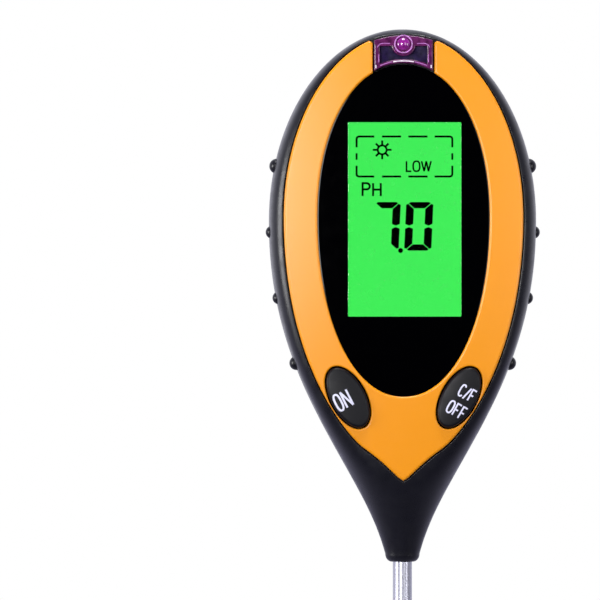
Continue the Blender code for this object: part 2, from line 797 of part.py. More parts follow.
def make_key(name, side):
    """Rubber key: crowned cap, retaining flange and the boss that carries the pill."""
    loops = []
    for grow_long, grow_short, y in KEY_STACK:
        loops.append([at(x, y, h) for x, h in key_outline(side, grow_long, grow_short)])
    key = finish(loft(name, loops), KEY)
    return set_origin(key, at(side * KEY_X, KEY_ORIGIN_Y, KEY_H))


def make_pill(name, side):
    outline = key_outline(side, -3.6, -1.8, 20)
    pill = finish(prism(name, outline, PILL_FRONT, PILL_BACK), CARBON)
    return set_origin(pill, at(side * KEY_X, KEY_ORIGIN_Y, KEY_H))


def make_web(name, side):
    """Thin sloping skin that lets the key move; it bends in use."""
    loops = []
    for grow_long, grow_short, y in WEB_RINGS:
        loops.append([at(x, y, h) for x, h in key_outline(side, grow_long, grow_short)])
    web = finish(ring(name, loops), GREY_RUBBER)
    return set_origin(web, at(side * KEY_X, WEB_ORIGIN_Y, KEY_H))


def make_key_mat():
    mat = prism("key_mat", head_outline(MAT_INSET, MAT_BOTTOM, MAT_TOP, 7),
                MAT_FRONT, BOARD_FRONT - ON_BOARD)
    for side in (-1, 1):
        cut(mat, prism("key_hole", key_outline(side, 1.85, 1.75), MAT_FRONT - 1.7, BOARD_BACK))
    cut(mat, box("screw_notch", -3.0, 3.0, MAT_FRONT - 1.7, BOARD_BACK, 44.6, 52.0))
    return finish(mat, GREY_RUBBER)


# ---------------------------------------------------------------- electronics
def make_board():
    board = prism("circuit_board", head_outline(BOARD_INSET, BOARD_BOTTOM, BOARD_TOP, 14),
                  BOARD_FRONT, BOARD_BACK)
    before, behind = BOARD_FRONT - 2.0, BOARD_BACK + 2.0
    for x, h, *_ in CASE_SCREWS.values():
        if h > BOARD_BOTTOM:
            cut(board, rod_y("post_hole", x, h, 3.4, before, behind, 20))
    for x, h in BOARD_SCREWS.values():
        cut(board, rod_y("screw_hole", x, h, 1.2, before, behind, 12))
    return finish(board, BOARD)


def make_display():
    half_w, half_h = HOLDER[0] / 2, HOLDER[1] / 2
    glass_w, glass_h = LCD_GLASS[0] / 2, LCD_GLASS[1] / 2
    holder = box("lcd_holder", -half_w, half_w, HOLDER_FRONT, BOARD_FRONT - ON_BOARD,
                 LCD_CENTRE - half_h, LCD_CENTRE + half_h)
    cut(holder, box("glass_space", -glass_w - GAP, glass_w + GAP, LCD_FRONT - 0.1, BOARD_BACK,
                    LCD_CENTRE - glass_h - GAP, LCD_CENTRE + glass_h + GAP))
    view_w, view_h = LCD_VIEW[0] / 2 + 0.4, LCD_VIEW[1] / 2 + 0.4
    cut(holder, box("view_space", -view_w, view_w, HOLDER_FRONT - 1.0, LCD_FRONT + 1.0,
                    LCD_CENTRE - view_h, LCD_CENTRE + view_h))
    finish(holder, HOLDER_BLACK)
    finish(box("lcd_glass", -glass_w, glass_w, LCD_FRONT, LCD_BACK,
               LCD_CENTRE - glass_h, LCD_CENTRE + glass_h), LCD)
    light_w, light_h = BACKLIGHT[0] / 2, BACKLIGHT[1] / 2
    finish(box("backlight", -light_w, light_w, LCD_BACK + 0.1, BACKLIGHT_BACK,
               LCD_CENTRE - light_h, LCD_CENTRE + light_h), DIFFUSER)
    for name, side in (("zebra_strip_bottom", -1), ("zebra_strip_top", 1)):
        middle = LCD_CENTRE + side * ZEBRA_REACH
        finish(box(name, -ZEBRA[0] / 2, ZEBRA[0] / 2, LCD_BACK + 0.1, BOARD_FRONT - ON_BOARD,
                   middle - ZEBRA[1] / 2, middle + ZEBRA[1] / 2), GREY_RUBBER)


def make_chips():
    on_back = BOARD_BACK + ON_BOARD
    finish(box("controller_chip", -7.0, 7.0, on_back, -0.5, 68.0, 82.0), CHIP)
    finish(box("quartz_crystal", -14.0, -10.0, on_back, -0.5, 88.0, 96.0), SCREW)
    finish(box("voltage_regulator", -8.2, -3.8, on_back, 0.3, 37.0, 43.0), CHIP)
    finish(rod_y("capacitor", 6.5, 39.5, 2.5, on_back, 5.2, 20), SCREW)
    diode = []
    for radius, y in DIODE_PROFILE:
        diode.append([at(x, y, h) for x, h in circle(0.0, DIODE_HEIGHT, radius, 18)])
    finish(loft("photodiode", diode), EPOXY)


def make_screw(name, x, h, seat, sizes):
    """Pan-head screw with a cross recess; its head bears on `seat`."""
    head_radius, shank_radius, head_height = sizes
    loops = []
    for radius, y in ((shank_radius * 0.5, SHANK_END), (shank_radius, SHANK_END + 0.8),
                      (shank_radius, seat), (head_radius, seat),
                      (head_radius, seat + head_height * 0.55),
                      (head_radius * 0.7, seat + head_height)):
        loops.append([at(px, y, ph) for px, ph in circle(x, h, radius, 12)])
    screw = loft(name, loops)
    slot, arm = 0.3, head_radius * 0.6
    quarter = ((arm, slot), (slot, slot), (slot, arm))
    cross = []
    for turn in range(4):
        c, s = round(math.cos(turn * math.pi / 2)), round(math.sin(turn * math.pi / 2))
        cross += [(x + c * a - s * b, h + s * a + c * b) for a, b in quarter]
    cut(screw, prism("cross", cross, seat + head_height * 0.45, REACH))
    return finish(screw, SCREW)


# ---------------------------------------------------------------- power
def make_battery():
    half_w = BATTERY[0] / 2
    y0, y1 = BATTERY_FRONT, BATTERY_FRONT + BATTERY[1]
    middle = (y0 + y1) / 2
    top = BATTERY_BOTTOM + BATTERY[2]
    section = []
    corners = ((half_w, y1, 0.0), (-half_w, y1, 0.5), (-half_w, y0, 1.0), (half_w, y0, 1.5))
    for x, y, turn in corners:
        cx = x - math.copysign(BATTERY_ROUND, x)
        cy = y - BATTERY_ROUND if y == y1 else y + BATTERY_ROUND
        for k in range(5):
            angle = math.pi * (turn + k / 8.0)
            section.append((cx + BATTERY_ROUND * math.cos(angle),
                            cy + BATTERY_ROUND * math.sin(angle)))
    edge, drawn_in = 0.6, 0.95
    loops = []
    for h, scale in ((BATTERY_BOTTOM, drawn_in), (BATTERY_BOTTOM + edge, 1.0),
                     (top - edge, 1.0), (top, drawn_in)):
        loops.append([at(x * scale, middle + (y - middle) * scale, h) for x, y in section])
    battery = loft("battery", loops)
    for x, radius in TERMINALS:
        join(battery, turned("stud", ((0.0, top - 1.0), (radius, top - 1.0),
                                      (radius, top + TERMINAL_HEIGHT),
                                      (0.0, top + TERMINAL_HEIGHT)), 18, x, middle))
    finish(battery, CELL)

    snap = box("battery_snap", -12.0, 12.0, middle - SNAP_HALF_DEPTH, middle + SNAP_HALF_DEPTH,
               top + SNAP_LOW, top + SNAP_HIGH)
    for x, radius in TERMINALS:
        inner = radius + 0.35
        outer = inner + 0.8
        join(snap, turned("skirt", ((inner, top + 0.8), (outer, top + 0.8), (outer, top + 3.4),
                                    (inner, top + 3.4)), 18, x, middle))
    finish(snap, HOLDER_BLACK)

    lead_h = top + 3.6
    leads = (("battery_lead_black", -1, BLACK_WIRE), ("battery_lead_red", 1, RED_WIRE))
    for name, side, mat in leads:
        path = rounded_path(((side * 3.2, middle - SNAP_HALF_DEPTH - 0.15, lead_h),
                             (side * 3.2, 2.7, lead_h), (side * 3.2, 2.6, lead_h + 4.2),
                             (side * 3.4, 2.0, lead_h + 7.9), (side * 3.4, -1.0, lead_h + 7.9)))
        finish(wire(name, path, 0.6), mat)


def make_door():
    radius = (BACK_FLAT - DOOR_FRONT) / 2
    profile = []
    for k in range(7):
        angle = math.pi * (1.0 + k / 6.0)
        profile.append((HINGE_Y + radius * math.cos(angle), HINGE_H + radius * math.sin(angle)))
    profile += [(BACK_FLAT, DOOR_TOP - 0.4), (BACK_FLAT - 0.4, DOOR_TOP), (DOOR_FRONT, DOOR_TOP)]
    loops = [[at(x, y, h) for y, h in profile] for x in (-DOOR_HALF_WIDTH, DOOR_HALF_WIDTH)]
    door = loft("battery_door", loops)
    for side in (-1, 1):
        inner, outer = side * (DOOR_HALF_WIDTH - 0.8), side * HINGE_STUD_END
        join(door, rod_x("stud", min(inner, outer), max(inner, outer), HINGE_Y, HINGE_H, HINGE_STUD))
    join(door, box("latch", -LATCH_HALF_WIDTH, LATCH_HALF_WIDTH, HINGE_Y - 0.6, BACK_FLAT - 0.5,
                   DOOR_TOP - 0.8, DOOR_TOP + 1.0))
    for k in range(GRIP_LINES):
        h = DOOR_TOP - 4.5 - GRIP_PITCH * k
        cut(door, box("grip", -6.0, 6.0, BACK_FLAT - 0.5, REACH, h - 0.5, h + 0.5))
    finish(door, BLACK)
    set_origin(door, at(0.0, HINGE_Y, HINGE_H))
    foam = finish(box("battery_foam", -FOAM_HALF_WIDTH, FOAM_HALF_WIDTH, FOAM_FRONT,
                      DOOR_FRONT - 0.1, *FOAM_SPAN), FOAM)
    set_origin(foam, at(0.0, HINGE_Y, HINGE_H))


# ---------------------------------------------------------------- probe
def make_probe():
    bottom = -PROBE_LENGTH
    tip_top = bottom + TIP_LENGTH
    lower_top = tip_top + INSULATOR_LENGTH
    electrode_top = lower_top + ELECTRODE_LENGTH
    upper_top = electrode_top + INSULATOR_LENGTH
    plug = PROBE_BORE - 0.1
    socket, socket_depth = SPIGOT_RADIUS + 0.1, 3.4
    overlap = 3.0

    finish(turned("probe_tip", (
        (0.0, bottom), (TIP_POINT, bottom + TIP_POINT), (PROBE_RADIUS, bottom + TIP_TAPER),
        (PROBE_RADIUS, tip_top), (socket, tip_top), (socket, tip_top - socket_depth),
        (0.0, tip_top - socket_depth)), 20), STEEL)
    finish(turned("insulator_lower", (
        (0.0, tip_top - socket_depth + 0.2), (SPIGOT_RADIUS, tip_top - socket_depth + 0.2),
        (SPIGOT_RADIUS, tip_top + HAIRLINE), (PROBE_RADIUS, tip_top + HAIRLINE),
        (PROBE_RADIUS, lower_top - HAIRLINE), (plug, lower_top - HAIRLINE),
        (plug, lower_top + overlap), (0.0, lower_top + overlap)), 20), INSULATOR)
    finish(turned("electrode", (
        (PROBE_BORE, lower_top), (PROBE_RADIUS, lower_top), (PROBE_RADIUS, electrode_top),
        (PROBE_BORE, electrode_top)), 20), COPPER)
    finish(turned("insulator_upper", (
        (UPPER_BORE, electrode_top - overlap), (plug, electrode_top - overlap),
        (plug, electrode_top + HAIRLINE), (PROBE_RADIUS, electrode_top + HAIRLINE),
        (PROBE_RADIUS, upper_top - HAIRLINE), (plug, upper_top - HAIRLINE),
        (plug, upper_top + overlap), (UPPER_BORE, upper_top + overlap)), 20), INSULATOR)
    finish(turned("probe_tube", (
        (PROBE_BORE, upper_top), (PROBE_RADIUS, upper_top), (PROBE_RADIUS, PROBE_TOP),
        (PROBE_BORE, PROBE_TOP)), 20), STEEL)
    hub = PROBE_RADIUS + 0.08
    low, high = COLLAR_SPAN
    finish(turned("probe_collar", ((hub, low), (COLLAR_RADIUS, low), (COLLAR_RADIUS, high),
                                   (hub, high)), 20), BRASS)
    seal = []
    for k in range(8):
        angle = 2.0 * math.pi * k / 8
        seal.append((SEAL_RADIUS + SEAL_SECTION * math.cos(angle),
                     SEAL_HEIGHT + SEAL_SECTION * math.sin(angle)))
    finish(turned("neck_seal", seal, 20), NECK_RUBBER)

    bead_h = lower_top + BEAD_HEIGHT
    finish(ball("thermistor", 0.0, 0.0, bead_h, 1.1, 12, 8), EPOXY)
    leads = (("probe_lead_left", -1, BLACK_WIRE), ("probe_lead_right", 1, RED_WIRE))
    for name, side, mat in leads:
        path = rounded_path(((side * 0.55, 0.0, bead_h + 1.7), (side * 0.55, 0.0, 20.0),
                             (side * 0.7, 0.0, 27.5), (side * 3.0, -0.9, 30.0),
                             (side * 3.0, -1.2, 33.0)))
        finish(wire(name, path, 0.38), mat)


# ---------------------------------------------------------------- build everything
make_front_case()
make_rear_case()
make_face_plate()
make_window()
finish(ring_prism("window_tape", egg(-0.35, 36), egg(-1.5, 36), -10.52, -10.38), FOAM)
make_lens()
for key_name, key_side in (("on", -1), ("off", 1)):
    make_key(key_name + "_key", key_side)
    make_pill(key_name + "_pill", key_side)
    make_web(key_name + "_key_web", key_side)
make_key_mat()
make_board()
make_display()
make_chips()
for screw_name, (screw_x, screw_h, screw_seat, *_) in CASE_SCREWS.items():
    make_screw(screw_name, screw_x, screw_h, screw_seat + ON_BOARD, CASE_HEAD)
for screw_name, (screw_x, screw_h) in BOARD_SCREWS.items():
    make_screw(screw_name, screw_x, screw_h, BOARD_BACK + ON_BOARD, BOARD_HEAD)
make_battery()
make_door()
make_probe()
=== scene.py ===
"""Looks of the soil moisture meter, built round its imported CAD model.

Lengths are in millimetres. `at` turns them into metres in the frame's own axes:
+Z up the probe, the face towards -Y, +X to the right as seen from the front.
Heights called `h` start at the neck face.
"""
import json
import math

import bmesh
import bpy
import numpy as np
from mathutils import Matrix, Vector
from mathutils.geometry import delaunay_2d_cdt


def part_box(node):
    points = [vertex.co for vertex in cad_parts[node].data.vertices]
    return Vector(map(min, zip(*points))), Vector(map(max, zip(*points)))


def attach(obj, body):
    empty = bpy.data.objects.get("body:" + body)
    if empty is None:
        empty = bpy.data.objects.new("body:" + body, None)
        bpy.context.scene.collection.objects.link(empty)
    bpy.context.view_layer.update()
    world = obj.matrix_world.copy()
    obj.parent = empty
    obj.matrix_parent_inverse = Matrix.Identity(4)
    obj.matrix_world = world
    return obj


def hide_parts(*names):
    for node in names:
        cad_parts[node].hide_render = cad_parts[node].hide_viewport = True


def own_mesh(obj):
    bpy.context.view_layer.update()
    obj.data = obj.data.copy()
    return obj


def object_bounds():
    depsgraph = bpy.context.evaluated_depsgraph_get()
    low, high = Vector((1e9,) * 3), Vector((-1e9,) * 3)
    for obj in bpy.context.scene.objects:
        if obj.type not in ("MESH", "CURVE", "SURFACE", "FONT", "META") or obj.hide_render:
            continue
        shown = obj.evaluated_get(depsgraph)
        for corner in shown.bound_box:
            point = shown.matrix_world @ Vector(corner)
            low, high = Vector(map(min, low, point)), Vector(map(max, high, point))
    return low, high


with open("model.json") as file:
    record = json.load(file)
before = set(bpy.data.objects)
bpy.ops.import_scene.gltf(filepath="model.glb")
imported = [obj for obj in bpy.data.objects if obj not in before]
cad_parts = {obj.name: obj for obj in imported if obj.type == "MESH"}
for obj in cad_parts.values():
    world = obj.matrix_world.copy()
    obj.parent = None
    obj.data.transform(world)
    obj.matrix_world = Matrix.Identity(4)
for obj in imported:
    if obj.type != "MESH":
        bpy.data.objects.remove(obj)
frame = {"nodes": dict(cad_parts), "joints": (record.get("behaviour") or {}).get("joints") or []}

CAD_BOX = [list(corner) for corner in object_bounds()]
MM = 0.001
NECK_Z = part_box("front_case")[0].z
REACH = 40.0                    # how far cutters run past the part they cut
GAP = 0.3
FIT = 0.1                       # room that a bore leaves round its shaft
WELD = 1e-7                     # metres within which points are one
GUARD = 0.12                    # narrow band that keeps a rounded edge's shading off the face
EDGE_SHARE = 0.36               # most of the room beside it that a rounded edge takes
GUARD_SHARE = 0.46
ROUND_STEPS = 4
SHARP_ANGLE = math.radians(34.0)

# ---- sizes of the head
HEAD_HEIGHT = 122.6
HEAD_HALF_WIDTH = 30.7
WIDEST = 78.6
WALL = 2.2
SEAM = 0.15
SEAM_ROUND = 0.25
FRONT_DEPTH = 14.6
REAR_DEPTH = 26.0
BACK_FLAT = 22.0
BACK_BLEND = 34.0
DEPTH_BLEND = 6.0
FACE_BLEND = 16.0
EDGE_POWER = 5.0
ROUND_UNTIL = 10.0
SQUARE_OVER = 36.0
NECK_CORNER = 1.909
NECK_FLAT_RADIUS = 2.5
HEAD_LOWER = ((30.7, 78.0), (30.7, 49.65), (18.66, 32.5), (9.9, 16.12))
HEAD_NECK = ((9.9, 16.12), (5.68, 8.23), (4.72, 4.33), (3.99, 1.909))
FLOOR_FRONT = -8.9
FLOOR_BACK = -7.0
NUB_PLANE = -4.0
NUBS = ((91.1, 1.75, 0.45), (75.9, 1.5, 0.6), (60.8, 1.5, 0.6), (45.8, 1.65, 0.4))   # h, radius, sink

CROWN_DEPTH = 14.0
CROWN_CENTRE = 70.0
CROWN_SIDE_DROP = 1.2
CROWN_END_DROP = 2.75
CROWN_END_REACH = 50.0
PLATE_HALF_WIDTH = 27.5
PLATE_WIDEST = 79.4
PLATE_UPPER_REACH = 42.2
PLATE_TIP = 18.15
PLATE_TIP_ROUND = 0.6
PLATE_BACK = -9.0
PLATE_EDGE = 0.5
PLATE_CORNER = 0.8
SHARP_CLEAR = 1.3               # no points this near the plate's sharp corners
PLATE_LOWER = ((27.5, 79.4), (27.5, 61.73), (23.38, 43.02), (12.28, 29.46))
PLATE_SHOULDER = ((12.28, 29.46), (8.45, 24.77), (8.01, 26.62), (0.0, 18.15))

WINDOW_HALF_WIDTH = 19.7
WINDOW_CENTRE = 79.35
WINDOW_UP = 35.0
WINDOW_DOWN = 41.2
WINDOW_POWER = 2.1
WINDOW_BACK = -10.6
WINDOW_SINK = 0.35
WINDOW_GAP = 0.06
APERTURE = (26.0, 44.6)         # clear part of the window
APERTURE_SHIFT = 0.24
LCD_CENTRE = 78.8

LENS_HALF_WIDTH = 6.75
LENS_PROUD = 0.3
LENS_TOP_INSET = 1.5
LENS_GROW = 0.35                # the lens stands this far off the window
LENS_BACK = -10.4
LENS_WELL_HALF = 5.45
WELL_SHELF = 118.6
DOME_HEIGHT = 119.05
DOME_FLATTEN = 0.7
DOME_RADIUS = 1.65
RING_RADIUS = 1.98
RING_WIRE = 0.17
BOSS_RADIUS = 2.75

KEY_X = 12.76
KEY_H = 37.9
KEY_LONG = 7.55
KEY_SHORT = 3.95
KEY_TILT = math.radians(28.5)
KEY_EDGE = 0.7
KEY_HOLE_EDGE = 0.3
KEY_GAP = 0.35
KEY_TOP = 13.6
KEY_CROWN = 0.2
WEB_BASE = -3.55                # the key mat's face, which the rubber skirts stand on
WEB_SECTION = ((1.65, WEB_BASE), (1.65, -4.1), (-0.4, -5.3), (-1.15, -5.3), (0.9, -3.9), (0.9, WEB_BASE))
# Stem and flange of a key: growth of its long and short radius, then y.
KEY_BACK = ((-3.35, -1.55, -5.0), (-3.35, -1.55, -5.4), (0.85, 0.85, -5.4), (0.85, 0.85, -6.5),
            (0.0, 0.0, -6.5))
# Each line's text, letter widths, height, space, and place along and across the key.
ON_LINES = (("ON", (1.38, 1.5), 3.9, 0.64, 0.0, -1.42),)
OFF_LINES = (("C/F", (1.0, 0.75, 0.95), 2.8, 0.44, 1.75, 1.1), ("OFF", (1.2, 1.0, 1.0), 2.9, 0.52, -2.8, 0.8))

DIGIT_WIDTH = 6.2
DIGIT_HEIGHT = 11.1
DIGIT_STEM = 1.8
DIGIT_BAR = 1.42
DIGIT_GAP = 0.16
DIGIT_SLANT = math.radians(2.6)
DIGIT_BASE = 71.65
DIGITS = ((-7.25, ("top", "upper_right", "lower_right")),
          (0.20, ("top", "upper_right", "lower_right", "upper_left", "lower_left", "bottom")))
POINT_PLACE = (-0.60, 71.67)
POINT_RADIUS = 0.56
DASH_BOX = (-10.65, 11.22, 88.6, 97.76)     # left, right, low, high
DASHES = ((0.265, 0.465), (0.541, 0.741))   # shares of the frame's width
SIDE_DASH = (0.42, 0.58)
CORNER_DASH = (0.185, 0.27)
SUN_PLACE = (-4.80, 94.70)
SUN_RADIUS = 1.02
RAY_START = 1.2
RAY_ENDS = (2.15, 2.05)
# Each word's piece, its text, letter widths, height, space and place, and its stroke.
DISPLAY_WORDS = (("lcd_light_word", ("LOW", (1.1, 1.5, 2.15), 2.3, 0.42, 3.55, 90.95), 0.38),
                 ("lcd_mode_word", ("PH", (1.65, 1.75), 2.95, 0.75, -7.2, 85.6), 0.46))
INK_FRONT = 0.04                # the ink's faces stand this far out of the glass
INK_BACK = 0.005

# ---- sizes inside, at the back and below
POST_PROFILE = ((2.6, -7.4), (2.6, -0.4), (2.4, -0.2), (1.25, -0.2), (1.25, -1.2), (0.1, -1.2))
POCKET_EDGE = 0.15
CAVITY_SPAN = (17.5, 120.3)
LEAST_SPAN = 0.04               # keeps the last loops from closing to a point
BORE_TOP = 20.0
HOLDER_GAP = 0.4
FLOOR_KEY_GAP = 0.5
POST_RADIUS = 3.0
RECESS_RADIUS = 2.4
SCREW_HEAD = 1.7
SHANK = 1.05                    # radius of a case screw's shank
DOOR_PIVOT = 1.1                # how far the door's pivots stand out of its sides
DOOR_GAP = 0.35
LATCH_HALF = 4.0
WELL_HALF = 13.7
WELL_WALL = 1.4
CELL_EDGE = 0.8
TERMINAL_RISE = 2.5
TERMINALS = (("terminal_small", -6.35, 2.85, True),     # piece, x, radius, flat top
             ("terminal_large", 6.35, 3.55, False))
BAND_START = 0.66               # the printed band's start, as a share of the battery's height
BAND_LINE = 1.2
PROBE_BORE = 1.65
PROBE_EDGE = 0.12
POINT_BLUNT = 0.5
TAPER = 8.5
JOINT = 0.05
AXIS = 0.02                     # radius that stands for the axis, so that a cap stays flat

# ---- surfaces and studio
NOISE_SPAN = (0.3, 0.7)         # part of the noise that the mottling and the gloss use
GLOSS_PATCH = 2.5
ROOM_COLOUR = (240, 240, 255)
FLOOR_GLOW = (225, 222, 255)
FLOOR_RADIUS = 1500.0
VIEW_WIDTH = 138.0              # width of the picture at the head
VIEW_DISTANCE = 3000.0
VIEW_PLANE = 6.0                # the width is measured this far in front of the axis
VIEW_LEAN = math.radians(1.3)   # the camera stands this far left of straight ahead
VIEW_X = -23.6
VIEW_H = 60.3
SENSOR = 36.0
# Each light's name, place, height that it aims at, size and power in watts.
LIGHTS = (("key", (-500.0, -1400.0, 240.0), 80.0, (480.0, 520.0), 13.5),
          ("fill", (580.0, -1380.0, 210.0), 80.0, (420.0, 600.0), 3.4),
          ("left_side", (-1400.0, -450.0, 90.0), 80.0, (500.0, 600.0), 12.0),
          ("right_side", (1150.0, -900.0, 30.0), 60.0, (300.0, 700.0), 5.0),
          ("top", (0.0, -350.0, 1300.0), 80.0, (600.0, 500.0), 14.0))


# ---- frame helpers
def at(x, y, h):
    """A point in metres from millimetres, with h measured from the neck face."""
    return Vector((x * MM, y * MM, NECK_Z + h * MM))


def extent(node):
    """Low and high corners of a CAD node as (x, y, h) in millimetres."""
    low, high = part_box(node)
    base = Vector((0.0, 0.0, NECK_Z))
    return (low - base) / MM, (high - base) / MM


def linear(red, green, blue):
    """Scene-linear colour from 0..255 display values."""
    out = []
    for value in (red, green, blue):
        c = value / 255.0
        out.append(c / 12.92 if c <= 0.04045 else ((c + 0.055) / 1.055) ** 2.4)
    return (*out, 1.0)


# ---- mesh helpers
def shade(obj):
    obj.data.polygons.foreach_set("use_smooth", [True] * len(obj.data.polygons))
    obj.data.set_sharp_from_angle(angle=SHARP_ANGLE)
    return obj


def weld(mesh, outward=False):
    """Merge points that are one, and turn all faces outward if asked."""
    bm = bmesh.new()
    bm.from_mesh(mesh)
    bmesh.ops.remove_doubles(bm, verts=bm.verts, dist=WELD)
    if outward:
        bmesh.ops.recalc_face_normals(bm, faces=bm.faces)
    bm.to_mesh(mesh)
    bm.free()


def link(obj):
    bpy.context.scene.collection.objects.link(obj)
    return obj


def shape(name, verts, faces):
    """A closed mesh object with outward faces."""
    mesh = bpy.data.meshes.new(name)
    mesh.from_pydata([tuple(v) for v in verts], [], faces)
    weld(mesh, outward=True)
    return shade(link(bpy.data.objects.new(name, mesh)))


def combine(target, tool, operation):
    """Apply one exact Boolean and drop the tool."""
    modifier = target.modifiers.new("combine", "BOOLEAN")
    modifier.operation = operation
    modifier.solver = "EXACT"
    modifier.object = tool
    graph = bpy.context.evaluated_depsgraph_get()
    mesh = bpy.data.meshes.new_from_object(target.evaluated_get(graph))
    target.modifiers.clear()
    spent = (target.data, tool.data)
    target.data = mesh
    bpy.data.objects.remove(tool)
    for old in spent:
        bpy.data.meshes.remove(old)
    mesh.name = target.name
    weld(mesh)
    return shade(target)


def cut(target, tool):
    return combine(target, tool, "DIFFERENCE")


def join(target, tool):
    return combine(target, tool, "UNION")


def strip(verts, faces, rings):
    """Add the bands between neighbouring equal-length rings."""
    count = len(rings[0])
    start = len(verts)
    for ring in rings:
        verts.extend(ring)
    for level in range(len(rings) - 1):
        a = start + level * count
        for i in range(count):
            j = (i + 1) % count
            faces.append((a + i, a + j, a + count + j, a + count + i))


def loft(name, rings):
    """Close a stack of equal-length rings into one solid."""
    verts = []
    faces = []
    strip(verts, faces, rings)
    count = len(rings[0])
    faces.append(tuple(range(count)))
    faces.append(tuple(range(len(verts) - count, len(verts))))
    return shape(name, verts, faces)


def hoop(name, rings):
    """Close a stack of rings back onto its first one."""
    verts = []
    faces = []
    strip(verts, faces, rings + rings[:1])
    return shape(name, verts, faces)


def prism(name, outline, y_front, y_back):
    return loft(name, [[at(x, y, h) for x, h in outline] for y in (y_front, y_back)])


def box(name, x0, x1, y0, y1, h0, h1):
    return prism(name, ((x0, h0), (x1, h0), (x1, h1), (x0, h1)), y0, y1)


def circle(x, h, radius, count=32):
    step = 2.0 * math.pi / count
    return [(x + radius * math.cos(i * step), h + radius * math.sin(i * step)) for i in range(count)]


def quarter(steps):
    """Sine and cosine of equal steps from 0 to 90 degrees."""
    angles = [math.pi / 2.0 * k / steps for k in range(steps + 1)]
    return [(math.sin(angle), math.cos(angle)) for angle in angles]


def level(value):
    """A depth function that is the same everywhere."""
    return lambda x, h: value


def rod_x(name, x0, x1, y, h, radius, count=32):
    ring = circle(0.0, 0.0, radius, count)
    return loft(name, [[at(x, y + a, h + b) for a, b in ring] for x in (x0, x1)])


def turned(name, profile, count=64, x=0.0, y=0.0):
    """Revolve a (radius, h) profile about a vertical line; one off the axis is closed."""
    path = list(profile)
    if path[0][0] > 0.0:
        path.append(path[0])
    verts = []
    faces = []
    strip(verts, faces, [[at(x + a, y + b, h) for a, b in circle(0.0, 0.0, radius, count)]
                         for radius, h in path])
    return shape(name, verts, faces)


def turned_y(name, profile, x, h, count=48):
    """Revolve a (radius, y) profile about a line along Y; both ends are capped."""
    return loft(name, [[at(px, y, ph) for px, ph in circle(x, h, radius, count)] for radius, y in profile])


def grown(points, distance):
    """Offset a closed counter-clockwise outline outward, by one distance or one per point."""
    here = np.asarray(points, float)
    before = np.roll(here, 1, 0)
    after = np.roll(here, -1, 0)
    first = here - before
    second = after - here
    first /= np.linalg.norm(first, axis=1)[:, None]
    second /= np.linalg.norm(second, axis=1)[:, None]
    normal = np.stack((first[:, 1] + second[:, 1], -first[:, 0] - second[:, 0]), 1)
    normal /= np.maximum((normal ** 2).sum(1) / 2.0, 0.5)[:, None]
    return [tuple(p) for p in here + normal * np.reshape(distance, (-1, 1))]


def inside(points, loops):
    """Which points lie inside an odd number of the loops."""
    odd = np.zeros(len(points), bool)
    for loop in loops:
        a = np.asarray(loop, float)
        for (x0, h0), (x1, h1) in zip(a, np.roll(a, -1, 0)):
            crosses = (h0 > points[:, 1]) != (h1 > points[:, 1])
            with np.errstate(divide="ignore", invalid="ignore"):
                reach = (x1 - x0) * (points[:, 1] - h0) / (h1 - h0) + x0
            odd ^= crosses & (points[:, 0] < reach)
    return odd


def clearance(points, loops):
    """Distance from each point to the nearest edge of the loops."""
    nearest = np.full(len(points), np.inf)
    for loop in loops:
        a = np.asarray(loop, float)
        for start, end in zip(a, np.roll(a, -1, 0)):
            along = end - start
            part = np.clip((points - start) @ along / (along @ along), 0.0, 1.0)
            away = points - start - part[:, None] * along
            nearest = np.minimum(nearest, np.hypot(away[:, 0], away[:, 1]))
    return nearest


def fill(verts, faces, loops, depth, spacing):
    """Add a triangulated sheet between the loops, at y = depth(x, h)."""
    points = [p for loop in loops for p in loop]
    edges = []
    start = 0
    for loop in loops:
        count = len(loop)
        edges += [(start + i, start + (i + 1) % count) for i in range(count)]
        start += count
    rim = np.asarray(points, float)
    if spacing:
        low, high = rim.min(0), rim.max(0)
        columns = np.arange(low[0], high[0], spacing)
        rows = np.arange(low[1], high[1], spacing)
        grid = np.array([(x, h) for x in columns for h in rows])
        grid = grid[inside(grid, loops)]
        points += [tuple(p) for p in grid[clearance(grid, loops) > 0.4 * spacing]]
    flat, _, triangles = delaunay_2d_cdt([Vector(p) for p in points], edges, [], 0, 1e-6)[:3]
    flat = np.array([tuple(p) for p in flat])
    centres = np.array([flat[list(t)].mean(0) for t in triangles])
    base = len(verts)
    verts.extend(at(x, depth(x, h), h) for x, h in flat)
    for triangle, kept in zip(triangles, inside(centres, loops)):
        if kept:
            faces.append(tuple(base + i for i in triangle))


def divided(path, step=0.4):
    """The path with points added so that no part is longer than `step`."""
    points = [path[0]]
    for (x0, y0), (x1, y1) in zip(path, path[1:]):
        count = math.ceil(math.hypot(x1 - x0, y1 - y0) / step - 1e-6)
        points += [(x0 + (x1 - x0) * k / count, y0 + (y1 - y0) * k / count) for k in range(1, count + 1)]
    return points


